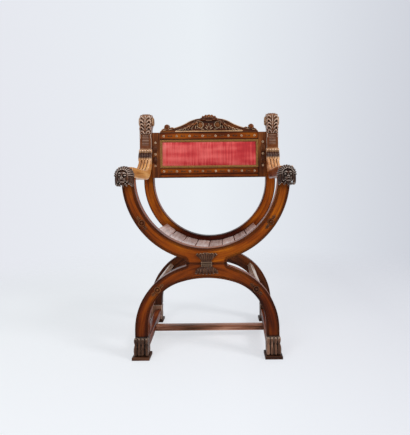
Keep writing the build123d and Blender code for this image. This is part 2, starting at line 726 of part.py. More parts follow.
def arm(side):
    """One S-shaped arm and post, with its volute, leaf, ridged strip, collar and reeds."""
    middle_x = side * arm_x
    wide = arm_w / 2 + collar_side_proud
    collar_centre = (collar_mid + collar_low) / 2
    strip_low_z = bend_z + strip_rise
    collar_root = bend_point(bend_inner_r + collar_wrap, collar_low)
    with BuildPart() as piece:
        with BuildSketch(beside(middle_x)) as shape:
            with BuildLine():
                Line((front_y, arm_under_z), (bend_y, arm_under_z))
                CenterArc((bend_y, bend_z), bend_outer_r, 270, 90)
                Line((rear_y, bend_z), (rear_y, volute_z))
                Line((rear_y, volute_z), (post_front_y, volute_z))
                Line((post_front_y, volute_z), (post_front_y, bend_z))
                CenterArc((bend_y, bend_z), bend_inner_r, 270, 90)
                Polyline((bend_y, arm_top_z), (front_y, arm_top_z), (front_y, arm_under_z))
            make_face()
            with Locations((volute_y, volute_z)):
                Circle(volute_r)
            neck = [v for v in shape.vertices() if abs(v.X - rear_y) < 0.01 and bend_z + 1 < v.Y < volute_z]
            fillet(neck, radius=neck_fillet)
        extrude(amount=arm_w / 2, both=True)

        with BuildSketch(beside(middle_x)):
            with BuildLine():
                Polyline(
                    collar_root,
                    bend_point(bend_inner_r + collar_wrap, collar_top),
                    bend_point(bend_inner_r - bead_band_proud, collar_top),
                    bend_point(bend_inner_r - bead_band_proud, collar_mid),
                )
                ThreePointArc(
                    bend_point(bend_inner_r - bead_band_proud, collar_mid),
                    bend_point(bend_inner_r - collar_proud, collar_centre),
                    bend_point(bend_inner_r - 1, collar_low),
                )
                Line(bend_point(bend_inner_r - 1, collar_low), collar_root)
            make_face()
        extrude(amount=wide, both=True)
        bead_y, bead_z = bend_point(bend_inner_r - bead_band_proud, (collar_top + collar_mid) / 2)
        bead_gap = 2 * wide / collar_bead_count
        beads = [
            (middle_x + (step - (collar_bead_count - 1) / 2) * bead_gap, bead_z)
            for step in range(collar_bead_count)
        ]
        with BuildSketch(facing(bead_y)):
            with Locations(*beads):
                RegularPolygon(collar_bead_w / 2, 8)
        extrude(amount=collar_bead_w / 2, taper=30)

        reed_w = arm_w / reed_count
        for groove in range(1, reed_count):
            groove_x = middle_x - arm_w / 2 + groove * reed_w
            with BuildLine(beside(groove_x)) as run:
                CenterArc((bend_y, bend_z), bend_inner_r, 360 - collar_low, collar_low - 90)
                Line((bend_y, arm_top_z), (bend_y - reed_run, arm_top_z + reed_groove_w / 2))
            with BuildSketch(Plane(origin=run.line @ 0, z_dir=run.line % 0)):
                Rectangle(reed_groove_w * 0.7, reed_groove_w * 0.7, rotation=45)
            sweep(mode=Mode.SUBTRACT)

        with BuildSketch(facing(post_front_y)):
            with Locations((middle_x, strip_low_z + strip_h / 2)):
                Rectangle(strip_w, strip_h)
        extrude(amount=-strip_deep, mode=Mode.SUBTRACT)
        ridge_gap = strip_h / ridge_count
        with BuildSketch(beside(middle_x)):
            for step in range(ridge_count):
                with Locations((post_front_y + strip_deep, strip_low_z + (step + 0.5) * ridge_gap)):
                    RegularPolygon(ridge_w / 2, 6)
        extrude(amount=strip_w / 2, both=True)

        add(post_leaf(middle_x))

        arm_mortise = (arm_tenon_w, arm_tenon_d, arm_tenon_h)
        peg(side * arc_x, front_y + frame_thick / 2, arm_under_z, *arm_mortise, spare=fit)
        with BuildSketch(facing(front_y)):
            with Locations((middle_x, arm_top_z - head_tenon_drop)):
                Rectangle(head_tenon_w + 2 * fit, head_tenon_h + 2 * fit)
        extrude(amount=-head_tenon_long - 2 * fit, mode=Mode.SUBTRACT)
        for z, height in zip(stile_tenon_z, stile_tenon_h):
            with BuildSketch(beside(side * arm_inner_x)):
                with Locations((rail_mid_y, z)):
                    Rectangle(rail_tenon_thick + 2 * fit, height + 2 * fit)
            extrude(amount=side * (stile_tenon_long + 2 * fit), mode=Mode.SUBTRACT)
        drill([(side * arc_x, rear_y, post_screw_z)], (0, -1, 0), post_screw_grip, screw_r)
    return piece


for side_name, side in sides.items():
    save(arm(side), f"arm_{side_name}")

with BuildPart() as volute_bosses:
    for side in (-1, 1):
        for face_x, way in ((arm_inner_x, -1), (arm_inner_x + arm_w, 1)):
            seat = volute_face(side * face_x, side * way)
            with Locations(seat):
                Cone(boss_r, boss_top_r, boss_proud, align=(Align.CENTER, Align.CENTER, Align.MIN))
save(volute_bosses, "volute_bosses")


# ---------------------------------------------------------------- arm heads
def arm_head(side):
    """A lion's head on the front end of an arm: round skull, muzzle, ears and a mane of tapered locks."""
    middle_x = side * arm_x
    muzzle_long = head_reach - head_long
    lock_outline = (
        (lock_root, head_r - lock_thick),
        (lock_root, head_r + lock_proud - 2),
        (lock_crest, head_r + lock_proud),
        (lock_tip, head_r - lock_proud),
        (lock_tip, head_r - lock_thick),
    )
    with BuildPart() as piece:
        with BuildSketch(facing(front_y)):
            with Locations((middle_x, head_z)):
                RegularPolygon(head_r, head_sides)
        extrude(amount=head_long)
        chamfer(piece.faces().sort_by(Axis.Y)[0].edges(), length=head_edge)
        for lock in range(mane_count):
            turn = 2 * pi * lock / mane_count + pi / 2
            across = (-sin(turn), 0, cos(turn))
            with BuildSketch(Plane(origin=(middle_x, front_y, head_z), x_dir=(0, -1, 0), z_dir=across)):
                with BuildLine():
                    Polyline(*lock_outline, close=True)
                make_face()
            extrude(amount=lock_w / 2, both=True)
        with Locations((middle_x, front_y - head_reach, head_z - muzzle_drop)):
            Box(muzzle_w, muzzle_long + 1, muzzle_h, align=(Align.CENTER, Align.MIN, Align.CENTER))
        chamfer(piece.faces().sort_by(Axis.Y)[0].edges(), length=muzzle_edge)
        ears = [(middle_x + way * ear_out, head_z + ear_rise) for way in (-1, 1)]
        with BuildSketch(facing(front_y - lock_tip)):
            with Locations(*ears):
                RegularPolygon(ear_r, 5)
        extrude(amount=ear_long)
        with BuildSketch(facing(front_y)):
            with Locations((middle_x, arm_top_z - head_tenon_drop)):
                Rectangle(head_tenon_w, head_tenon_h)
        extrude(amount=-head_tenon_long)
    return piece


for side_name, side in sides.items():
    save(arm_head(side), f"arm_head_{side_name}")

# ---------------------------------------------------------------- back panel
rail_levels = {
    "top": (window_high_z, top_rail_h, panel_high_z - top_rosette_drop),
    "bottom": (panel_low_z, bottom_rail_h, panel_low_z + low_rosette_rise),
}
for name, (low_z, height, rosette_z) in rail_levels.items():
    with BuildPart() as rail:
        with BuildSketch(facing(panel_back_y)):
            with Locations((0, low_z)):
                Rectangle(2 * inner_half_w, height, align=(Align.CENTER, Align.MIN))
        extrude(amount=panel_thick)
        with BuildSketch(facing(rail_mid_y + rail_tenon_thick / 2)):
            with Locations((0, low_z + height / 2)):
                Rectangle(2 * (inner_half_w + tenon_long), rail_tenon_h)
        extrude(amount=rail_tenon_thick)
        if name == "bottom":
            with BuildSketch(facing(panel_front_y + moulding_deep)):
                with Locations((0, low_z + rail_moulding_z)):
                    Rectangle(2 * inner_half_w, moulding_w)
            extrude(amount=moulding_deep, mode=Mode.SUBTRACT)
        else:
            for side in (-1, 1):
                crest_tenon = (crest_tenon_w, crest_tenon_thick, -crest_tenon_h)
                peg(side * crest_tenon_x, rail_mid_y, panel_high_z, *crest_tenon, spare=fit)
    save(rail, f"back_{name}_rail")

for side_name, side in sides.items():
    with BuildPart() as stile:
        with BuildSketch(facing(panel_back_y)):
            with Locations((side * (inner_half_w + stile_w / 2), (panel_low_z + panel_high_z) / 2)):
                Rectangle(stile_w, panel_high_z - panel_low_z)
        extrude(amount=panel_thick)
        for low_z, height, rosette_z in rail_levels.values():
            with BuildSketch(facing(rail_mid_y + rail_tenon_thick / 2 + fit)):
                with Locations((side * inner_half_w, low_z + height / 2)):
                    Rectangle(2 * (tenon_long + 2 * fit), rail_tenon_h + 2 * fit)
            extrude(amount=rail_tenon_thick + 2 * fit, mode=Mode.SUBTRACT)
        for z, height in zip(stile_tenon_z, stile_tenon_h):
            with BuildSketch(beside(side * arm_inner_x)):
                with Locations((rail_mid_y, z)):
                    Rectangle(rail_tenon_thick, height)
            extrude(amount=side * stile_tenon_long)
    save(stile, f"back_stile_{side_name}")

with BuildPart() as back_board:
    with BuildSketch(facing(panel_back_y + back_board_thick)):
        with Locations((0, window_mid_z)):
            Rectangle(2 * (inner_half_w + back_board_lap), window_h + 2 * back_board_lap)
    extrude(amount=back_board_thick)
    chamfer(back_board.faces().sort_by(Axis.Y)[-1].edges(), length=plinth_edge)
save(back_board, "back_board")

braid_back_y = panel_front_y - braid_set + braid_thick
pad_edge_front_y = braid_back_y + soft_gap
pad_crown_y = panel_front_y - pad_proud
with BuildPart() as velvet_pad:
    with BuildSketch(facing(panel_back_y - soft_gap)):
        with Locations((0, window_mid_z)):
            Rectangle(2 * (inner_half_w - soft_gap), window_h - 2 * soft_gap)
    extrude(amount=panel_back_y - soft_gap - pad_edge_front_y)
    with BuildSketch(facing(pad_edge_front_y)):
        with Locations((0, window_mid_z)):
            Rectangle(2 * (inner_half_w - braid_w - 2 * soft_gap), window_h - 2 * (braid_w + 2 * soft_gap))
    extrude(amount=pad_edge_front_y - pad_crown_y)
    fillet(velvet_pad.faces().sort_by(Axis.Y)[0].edges(), radius=pad_roll_r)
save(velvet_pad, "velvet_pad")

with BuildPart() as gimp_braid:
    with BuildSketch(facing(braid_back_y)):
        with Locations((0, window_mid_z)):
            Rectangle(2 * (inner_half_w - soft_gap), window_h - 2 * soft_gap)
            Rectangle(2 * (inner_half_w - braid_w), window_h - 2 * braid_w, mode=Mode.SUBTRACT)
    extrude(amount=braid_thick)
save(gimp_braid, "gimp_braid")

rosette_spots = [
    ((step - (rail_rosette_count - 1) / 2) * rail_rosette_gap, rosette_z)
    for low_z, height, rosette_z in rail_levels.values()
    for step in range(rail_rosette_count)
]
rosette_spots += [(side * (inner_half_w + stile_w * 0.6), z) for side in (-1, 1) for z in stile_rosette_z]
with BuildPart() as rail_rosettes:
    with BuildSketch(facing(panel_front_y)):
        with Locations(*rosette_spots):
            RegularPolygon(rail_rosette_w / 2, 8)
    extrude(amount=rail_rosette_h, taper=25)
save(rail_rosettes, "rail_rosettes")

# ---------------------------------------------------------------- crest
crest_front_y = rail_mid_y - crest_thick / 2
with BuildPart() as crest_board:
    with BuildSketch(facing(rail_mid_y + crest_thick / 2)):
        for side in (-1, 1):
            edge = [(side * x, panel_high_z + rise) for x, rise in crest_edge]
            with BuildLine():
                Polyline(
                    (0, panel_high_z),
                    (side * crest_half_w, panel_high_z),
                    (side * crest_half_w, panel_high_z + crest_end_h),
                    *edge,
                    (0, edge[-1][1]),
                    close=True,
                )
            make_face()
        with Locations((0, panel_high_z + shell_rise)):
            Ellipse(shell_half_w * 0.8, shell_h - shell_proud)
        with Locations(*[(side * crest_knob_x, panel_high_z + crest_knob_rise) for side in (-1, 1)]):
            Circle(crest_knob_r)
    extrude(amount=crest_thick)
    with BuildSketch(facing(crest_front_y)):
        with Locations((0, panel_high_z)):
            Rectangle(2 * crest_bead_half_w, crest_bead_h, align=(Align.CENTER, Align.MIN))
    extrude(amount=crest_bead_proud, taper=30)
    with BuildSketch(facing(crest_front_y)):
        with Locations(*[(side * crest_knob_x, panel_high_z + crest_knob_rise) for side in (-1, 1)]):
            Circle(crest_knob_r)
    extrude(amount=crest_knob_r * 0.4, taper=45)
    for x, rise, half_long, half_w, lean in crest_leaves:
        with BuildSketch(facing(crest_front_y)):
            for side in (-1, 1):
                with BuildLine():
                    spray = leaf_points((x, panel_high_z + rise), half_long, half_w, lean)
                    Polyline(*[(side * a, b) for a, b in spray], close=True)
                make_face()
        extrude(amount=crest_leaf_proud)
    with BuildSketch(facing(crest_front_y)):
        with Locations(*[(side * medallion_x, panel_high_z + medallion_rise) for side in (-1, 1)]):
            RegularPolygon(medallion_r, 12)
    extrude(amount=medallion_proud, taper=20)
    with BuildSketch(facing(crest_front_y)):
        for lean in (50, 90, 130):
            reach = palmette_h / 2 * (1 if lean == 90 else 0.8)
            root = (reach * cos(radians(lean)), panel_high_z + crest_bead_h + reach * sin(radians(lean)))
            with BuildLine():
                Polyline(*leaf_points(root, reach, palmette_half_w * 0.4, lean), close=True)
            make_face()
    extrude(amount=crest_leaf_proud)
    for lobe in range(shell_lobes):
        lean = 90 + (lobe / (shell_lobes - 1) - 0.5) * shell_spread
        half_long = (shell_h + (shell_half_w - shell_h) * cos(radians(lean)) ** 2) / 2
        middle = (half_long * cos(radians(lean)), panel_high_z + shell_rise + half_long * sin(radians(lean)))
        with BuildSketch(facing(crest_front_y)):
            with BuildLine():
                Polyline(*leaf_points(middle, half_long, shell_lobe_w / 2, lean), close=True)
            make_face()
        extrude(amount=shell_proud)
    for side in (-1, 1):
        peg(side * crest_tenon_x, rail_mid_y, panel_high_z, crest_tenon_w, crest_tenon_thick, -crest_tenon_h)
save(crest_board, "crest_board")

# ---------------------------------------------------------------- ornament of the front frame
upper_turn = radians(upper_rosette_deg)
mid_r = (arc_inner_r + arc_outer_r) / 2 + hub_drop * 0.2
mid_z = (arc_inner_z + arc_outer_z) / 2
frame_rosette_spots = (
    (mid_r * sin(upper_turn), mid_z - mid_r * cos(upper_turn), upper_rosette_deg),
    (lower_rosette_x, lower_rosette_z, lower_rosette_slope),
)
with BuildPart() as frame_rosettes:
    for side in (-1, 1):
        for x, z, slope in frame_rosette_spots:
            for way in (-1, 1):
                run = way * (rosette_w + rosette_leaf_long) / 4
                centre = (x + run * cos(radians(slope)), z + run * sin(radians(slope)))
                with BuildSketch(facing(front_y)):
                    with BuildLine():
                        lean = slope + 90 - 90 * way
                        outline = leaf_points(centre, rosette_leaf_long / 2, rosette_leaf_w / 2, lean)
                        Polyline(*[(side * a, b) for a, b in outline], close=True)
                    make_face()
                extrude(amount=rosette_leaf_proud)
            with BuildSketch(facing(front_y)):
                with Locations((side * x, z)):
                    RegularPolygon(rosette_w / 2, 10)
            extrude(amount=rosette_proud, taper=20)
save(frame_rosettes, "frame_rosettes")

fans = (
    (hub_joint_z + upper_fan_rise, upper_fan_long, upper_fan_spread, 90),
    (hub_joint_z - lower_fan_drop, lower_fan_long, lower_fan_spread, -90),
)
with BuildPart() as hub_carving:
    for root_z, long, spread, way in fans:
        for petal in range(fan_petals):
            lean = way + (petal / (fan_petals - 1) - 0.5) * spread
            centre = (long / 2 * cos(radians(lean)), root_z + long / 2 * sin(radians(lean)))
            with BuildSketch(facing(front_y)):
                with BuildLine():
                    Polyline(*leaf_points(centre, long / 2, fan_petal_w / 2, lean), close=True)
                make_face()
            extrude(amount=fan_proud * 0.7)
    with BuildSketch(facing(front_y)):
        with Locations((0, hub_joint_z - upper_fan_rise)):
            Rectangle(fan_band_w, fan_band_h)
    extrude(amount=fan_proud)
save(hub_carving, "hub_carving")

# ---------------------------------------------------------------- screws
with BuildPart() as post_screws:
    screw_spots = [(-arc_x, post_screw_z), (arc_x, post_screw_z)]
    with BuildSketch(facing(rear_back_y)):
        with Locations(*screw_spots):
            Circle(screw_r)
    extrude(amount=frame_thick + post_screw_grip)
    with BuildSketch(facing(rear_back_y)):
        with Locations(*screw_spots):
            Circle(screw_head_r)
    extrude(amount=screw_head_h - fit)
save(post_screws, "post_screws")
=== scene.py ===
"""Finish of a carved walnut savonarola armchair: camera, light, carving, velvet, braid and polish.

Shapes are drawn in millimetres in the chair's own frame and turned to metres when a piece is finished.
"""

from math import cos, pi, radians, sin, sqrt

import bmesh
import bpy
from mathutils import Matrix, Vector


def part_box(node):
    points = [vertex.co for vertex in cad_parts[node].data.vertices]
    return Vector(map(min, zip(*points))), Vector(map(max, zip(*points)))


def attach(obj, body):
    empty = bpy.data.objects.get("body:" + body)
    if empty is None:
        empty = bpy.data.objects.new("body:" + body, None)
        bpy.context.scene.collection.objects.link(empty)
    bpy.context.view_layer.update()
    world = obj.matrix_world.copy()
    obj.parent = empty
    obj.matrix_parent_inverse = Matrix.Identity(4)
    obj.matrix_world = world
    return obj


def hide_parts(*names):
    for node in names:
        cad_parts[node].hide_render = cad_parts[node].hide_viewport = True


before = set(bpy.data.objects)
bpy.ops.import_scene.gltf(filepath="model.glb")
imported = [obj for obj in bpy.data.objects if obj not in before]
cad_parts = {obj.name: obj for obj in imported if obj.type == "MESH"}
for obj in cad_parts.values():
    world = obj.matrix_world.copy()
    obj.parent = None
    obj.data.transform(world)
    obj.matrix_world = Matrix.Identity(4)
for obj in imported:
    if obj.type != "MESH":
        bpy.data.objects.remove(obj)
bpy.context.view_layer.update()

MM = 0.001
WELD = 0.00002                            # metres within which a CAD solid's corners are joined
HEIGHT = 1010.0                           # floor to the top of the posts
FRONT_Y, FRONT_BACK_Y = -212.5, -167.5    # faces of the front frame
REAR_Y, REAR_BACK_Y = 217.5, 262.5        # faces of the rear frame
ARC_Z = 688.0                             # centre of the upper arcs
ARCH_Z = 95.0                             # centre that the grain of the lower arches bends round
HUB_Z = 362.0                             # joint of arc and arch
ARM_X = 304.0                             # middle of an arm
HEAD_Z = 691.0                            # middle of a lion's head
BEND_Y, BEND_Z, BEND_R = 54.5, 853.0, 123.0
POST_Y = 177.5                            # front face of the posts
VOLUTE_Y, VOLUTE_Z, VOLUTE_R = 211.5, 976.0, 34.0
PANEL_Y, PANEL_TOP = 189.5, 921.0         # front face and top of the back panel
FLOWER_ROWS, FLOWER_PITCH = (903.0, 733.5), 62.5
STILE_X = 259.0                           # the line of flowers on a stile
CREST_Y, CREST_BACK_Y = 192.5, 212.5      # faces of the crest board
STRETCHER_Y = -17.0                       # front face of the cross stretcher
SCREW_X, SCREW_Z = 297.5, 883.0
OUT = Vector((0, -1, 0))                  # the way the front faces look
SIDES = ((-1, "left"), (1, "right"))


def new_object(name, data):
    """An object in the scene, at the origin."""
    made = bpy.data.objects.new(name, data)
    bpy.context.scene.collection.objects.link(made)
    return made


# ---------------- camera
def place_camera():
    """A level lens, higher than the seat and lower than the arms, a little to the right and barely leaned."""
    width_px, height_px, focal_px = 410, 435, 390.7
    aim_x, aim_y = 223.3, 192.4
    lens = bpy.data.cameras.new("portrait_lens")
    lens.sensor_fit = "HORIZONTAL"
    lens.sensor_width = 36.0
    lens.lens = lens.sensor_width * focal_px / width_px
    lens.shift_x = (width_px / 2 - aim_x) / width_px
    lens.shift_y = (aim_y - height_px / 2) / width_px
    lens.clip_end = 60.0
    camera = new_object("portrait_camera", lens)
    stand = Matrix.Translation((0.066, -1.692, 0.630))
    level, lean = Matrix.Rotation(pi / 2, 4, "X"), Matrix.Rotation(radians(-0.58), 4, "Z")
    camera.matrix_world = stand @ level @ lean
    bpy.context.scene.camera = camera


place_camera()


# ---------------- colours and nodes
FLOAT = {"data_type": "FLOAT"}


def colour(code):
    """An sRGB hex colour as the linear values that a shader takes."""
    parts = [int(code[k:k + 2], 16) / 255 for k in (1, 3, 5)]
    return [p / 12.92 if p <= 0.04045 else ((p + 0.055) / 1.055) ** 2.4 for p in parts] + [1.0]


def feed(tree, plug, value):
    """Set a socket to a value, or link it to an output. A node stands for its first output."""
    if isinstance(value, bpy.types.Node):
        value = value.outputs[0]
    if isinstance(value, bpy.types.NodeSocket):
        tree.links.new(value, plug)
    else:
        plug.default_value = value


def dress(tree, node, **sockets):
    """Feed a node's sockets, by their names with _ for a space, or by their places as s0, s1 ..."""
    for key, value in sockets.items():
        feed(tree, node.inputs[int(key[1:]) if key[1:].isdigit() else key.replace("_", " ")], value)


def tinted(band, stops):
    """Give a band of colour its stops: (place, hex colour)."""
    while len(band.elements) > len(stops):
        band.elements.remove(band.elements[-1])
    while len(band.elements) < len(stops):
        band.elements.new(0.5)
    for element, (place, code) in zip(band.elements, stops):
        element.position = place
        element.color = colour(code)


def add(tree, kind, settings=None, **sockets):
    """Add a node with its settings and feed its sockets.

    settings are the node's own properties, the name of its operation, or the stops of its band of colour.
    """
    node = tree.nodes.new(kind)
    if isinstance(settings, str):
        settings = {"operation": settings}
    if isinstance(settings, (list, tuple)):
        tinted(node.color_ramp, settings)
        settings = None
    for key, value in (settings or {}).items():
        setattr(node, key, value)
    dress(tree, node, **sockets)
    return node


def material(name, **sockets):
    """A new material with its main shader set: uniform values on the shader's own sockets."""
    made = bpy.data.materials.new(name)
    made.use_nodes = True
    tree = made.node_tree
    shader = tree.nodes["Principled BSDF"]
    dress(tree, shader, **sockets)
    return made, tree, shader


def spot(tree):
    """Object coordinates in millimetres."""
    place = add(tree, "ShaderNodeTexCoord").outputs["Object"]
    return add(tree, "ShaderNodeVectorMath", "SCALE", Vector=place, Scale=1 / MM)


def per(*sizes):
    """The scales that make a pattern's unit so many millimetres along x, y and z."""
    return [1 / size for size in sizes]


# ---------------- walnut
FIELD = ("#4C1C04", "#8A3E06", "#B2600C")
RED = ("#34110A", "#6E2C12", "#9A5024")
DEEP = ("#200B05", "#44200E", "#6E3A1A")
# Pale tones for painted highlights: rounded edges, the arcs' flanks and the rail flowers
LIGHT = ("#B07844", "#E6B888", "#FFE4C8")
CARVED = ("#2A1409", "#5C3216", "#8C5426")
PLAIN = "#FFFFFF"
# The colour of the hollows: old wax and painted shade
WAX_AND_SHADE = "#0C0502"
GRAIN_R = 290.0               # where bent grain keeps its true length, about the middle of the arcs


def bent_grain(tree, place, centre_z):
    """Coordinates that follow an arc round centre_z: x along it, y to the back, z out from the centre."""
    split = add(tree, "ShaderNodeSeparateXYZ", Vector=place)
    rise = add(tree, "ShaderNodeMath", "SUBTRACT", s0=split.outputs["Z"], s1=centre_z)
    turn = add(tree, "ShaderNodeMath", "ARCTAN2", s0=split.outputs["X"], s1=rise)
    run = add(tree, "ShaderNodeMath", "MULTIPLY", s0=turn, s1=GRAIN_R)
    flat = add(tree, "ShaderNodeCombineXYZ", X=split.outputs["X"], Y=0.0, Z=rise)
    out = add(tree, "ShaderNodeVectorMath", "LENGTH", Vector=flat).outputs["Value"]
    return add(tree, "ShaderNodeCombineXYZ", X=run, Y=split.outputs["Y"], Z=out)


def by_height(tree, level, stops):
    """A colour that changes with height: stops are (millimetres, hex colour)."""
    return add(tree, "ShaderNodeValToRGB", [(z / HEIGHT, code) for z, code in stops], Fac=level)


def walnut(name, along, tones, centre_z=None, rough=0.38, carved=None, coat=0.05, shift=(0, 0, 0), tint_by_height=(),
           wear_and_glint=1.0, hollow=((0, WAX_AND_SHADE),), lined=0.0):
    """Walnut, stained and French polished by hand: a warm brown with darker streaks and fine open pores.

    Its gloss is deep but not even. The grain runs along the named axis, or bends round centre_z. A carved
    piece is dark in its hollows and creases, with old wax and painted shade there, and worn pale to the
    colour carved on what stands out, which is also a painted highlight, by as much as wear_and_glint says.
    tint_by_height and hollow give (height in mm, hex colour) pairs: what darkens or warms the wood by height,
    painted light and shade among it, and the colour of the wax and painted shade in the hollows there. lined
    is how dark a field runs beside its edges.
    """
    made, tree, shader = material(
        name, Coat_Weight=coat, Coat_Roughness=0.12, IOR=1.5, Specular_IOR_Level=0.14 if carved else 0.08,
    )
    place = spot(tree)
    height = add(tree, "ShaderNodeSeparateXYZ", Vector=place).outputs["Z"]
    if centre_z is not None:
        place = bent_grain(tree, place, centre_z)
    streak, cloud, pore = (
        add(tree, "ShaderNodeTexNoise", Scale=1.0, **form, Vector=add(
            tree, "ShaderNodeMapping", Vector=place, Location=shift,
            Scale=per(*(long if axis == along else across for axis in "XYZ"))))
        for long, across, form in (
            (240, 9, {"Detail": 5.0, "Roughness": 0.6, "Distortion": 0.6}),
            (170, 60, {"Detail": 2.0}),
            (16, 1.1, {"Detail": 3.0, "Roughness": 0.7}),
        )
    )
    tone = add(tree, "ShaderNodeMix", FLOAT, Factor=0.45, A=streak, B=cloud)
    body = add(tree, "ShaderNodeValToRGB", list(zip((0.36, 0.5, 0.63), tones)), Fac=tone)
    ticks = add(tree, "ShaderNodeMapRange", Value=pore, From_Min=0.30, From_Max=0.46, To_Min=0.5, To_Max=0.0)
    layers = [(ticks, colour(tones[0]), "MIX")]
    level = add(tree, "ShaderNodeMapRange", Value=height, From_Min=0.0, From_Max=HEIGHT)
    if tint_by_height:
        layers.append((1.0, by_height(tree, level, tint_by_height), "MULTIPLY"))
    if lined:
        inward = add(tree, "ShaderNodeAmbientOcclusion", {"samples": 6, "inside": True}, Distance=0.008)
        beside = add(tree, "ShaderNodeMapRange", Value=inward.outputs["AO"], From_Min=0.97, From_Max=0.6,
                     To_Min=0.0, To_Max=lined)
        layers.append((beside, colour("#1C0A04"), "MIX"))
    if carved:
        open_air = add(tree, "ShaderNodeAmbientOcclusion", {"samples": 5}, Distance=0.009).outputs["AO"]
        bend = add(tree, "ShaderNodeNewGeometry").outputs["Pointiness"]
        sunk, crease, crown = (
            add(tree, "ShaderNodeMapRange", Value=value, From_Min=low, From_Max=high, To_Max=most)
            for value, low, high, most in (
                (open_air, 0.85, 0.42, 0.95), (bend, 0.5, 0.455, 0.95), (bend, 0.515, 0.57, 1.7 * wear_and_glint),
            )
        )
        worn_and_lit = add(tree, "ShaderNodeMath", "MULTIPLY", s0=crown, s1=cloud)
        worn_and_lit = add(tree, "ShaderNodeMath", "MINIMUM", s0=worn_and_lit, s1=0.9)
        wax_and_shade = by_height(tree, level, hollow)
        layers += [(worn_and_lit, colour(carved), "MIX"), (sunk, wax_and_shade, "MIX"), (crease, wax_and_shade, "MIX")]
    for share, over, way in layers:
        how = {"data_type": "RGBA", "blend_type": way}
        body = add(tree, "ShaderNodeMix", how, Factor=share, s6=body, s7=over).outputs[2]
    dull = add(tree, "ShaderNodeMapRange", Value=cloud, From_Min=0.3, From_Max=0.7, To_Min=rough - 0.07,
               To_Max=rough + 0.09)
    dent = add(tree, "ShaderNodeBump", Height=pore, Strength=0.12, Distance=0.0004)
    dress(tree, shader, Base_Color=body, Roughness=dull, Normal=dent)
    return made


# Tints by height: darker low on the legs, painted shade under the seat and along the rails' mouldings,
# painted light and shade on the arcs' flanks, arms and posts, and what hands have rubbed pale
DARKER_LOW = [(60, "#A89C9C"), (180, "#C4ACA4"), (300, PLAIN)]
SEAT_SHADE = [(395, "#6A4A40"), (440, "#6A4A40"), (505, PLAIN)]
RAIL_SHADE = [(703, "#8A7468"), (712, PLAIN), (722, "#8A7468"), (728, PLAIN), (744, PLAIN), (750, "#7A6458"),
              (888, "#7A6458"), (894, PLAIN), (912, PLAIN), (920, "#8A7468")]
# The front arc's flanks: painted shade, except a painted pale band at about 420 to 455 mm
ARC_SIDE_LIGHT_AND_SHADE = [(300, "#5A3220"), (420, PLAIN), (455, "#D0A088"), (500, "#54301C"), (700, "#3A2010")]
# Posts: a painted shadow under the collar, a painted highlight on its beads, and a brown strip above that
# lightens upward
POST_SHADE_AND_GLINT = [(799, "#4A3022"), (821, "#54382A"), (828, "#FFF6F2"), (837, "#F0DCD0"), (845, "#80583C"),
             (898, "#80583C"), (912, "#94705A"), (965, "#A08478")]
# The left arm painted as lit, pale gold up the bend; the right one painted as shaded, browner below 730 mm
LIT_ARM = [(700, "#FCE4B0"), (760, "#FCE0B4"), (789, "#FFF0E0")] + POST_SHADE_AND_GLINT
SHADED_ARM = [(700, "#8A5430"), (722, "#94603A"), (736, "#FFDCC4"), (789, "#FFF0E4")] + POST_SHADE_AND_GLINT
# The arms' hollows: painted shade kept light and golden low on the bend, then wax and painted shade from 801
# mm
ARM_HOLLOWS = [(700, "#C4884A"), (780, "#A86C34"), (801, WAX_AND_SHADE)]

# Bands of the frames: warm and orange in the middle, dark beside the edges, with grain that bends along
walnut_arc = walnut("walnut_upper_arc", "X", FIELD, ARC_Z, lined=0.9)
walnut_arch = walnut("walnut_lower_arch", "X", FIELD, ARCH_Z, shift=(3, 1, 5), tint_by_height=DARKER_LOW, lined=0.9)
walnut_rear_arc = walnut("walnut_rear_arc", "X", FIELD, ARC_Z, shift=(5, 3, 2), tint_by_height=SEAT_SHADE, lined=0.9)
walnut_rear_arch = walnut("walnut_rear_arch", "X", DEEP, ARCH_Z, shift=(3, 5, 5))
# The back: rails with dark lines along them, a board that light seldom reaches, and stiles of upright grain
walnut_across = walnut("walnut_across", "X", FIELD, shift=(1, 7, 2), tint_by_height=RAIL_SHADE, lined=0.6)
walnut_deep = walnut("walnut_back", "X", DEEP, shift=(4, 2, 9))
walnut_upright = walnut("walnut_upright", "Z", ("#341608", "#6C3818", "#9A5A2A"), shift=(6, 3, 1))
# Low members: reddish side rails, a stretcher rubbed pale by shoes, and dark plinths
walnut_along = walnut("walnut_side_rails", "Y", RED, shift=(2, 5, 8), coat=0.3)
walnut_rail = walnut("walnut_stretcher", "X", ("#5A3A28", "#A06C54", "#D0A48C"), shift=(9, 4, 3), coat=0.2)
walnut_plinth = walnut("walnut_plinth", "X", ("#1E0E08", "#3E2416", "#64402C"), shift=(1, 2, 6), coat=0.1)
# Arch rails and seat slats in pinkish grey: worn pale wood under a painted reflection of the pale surround on
# # their polish
walnut_lath = walnut("walnut_lath", "Y", ("#A88A70", "#CDB49C", "#E6D6C4"), shift=(3, 8, 1), coat=0.5)
walnut_slat = walnut("walnut_slat", "Y", ("#B08A7C", "#E2BEB2", "#FAE2DA"), rough=0.36, coat=0.4)
# Edges rubbed pale and given a painted highlight, the frames' flanks with painted light and shade, and
# grooves
# # near black with old wax and painted shade
walnut_lit_edge = walnut("walnut_rubbed_lit_edge", "X", LIGHT, rough=0.36, coat=0.3)
walnut_reveal = walnut("walnut_arc_side", "Y", LIGHT, shift=(7, 2, 4), tint_by_height=ARC_SIDE_LIGHT_AND_SHADE)
walnut_groove = walnut("walnut_groove", "X", ("#0E0502", "#1E0C04", "#341808"), rough=0.5)
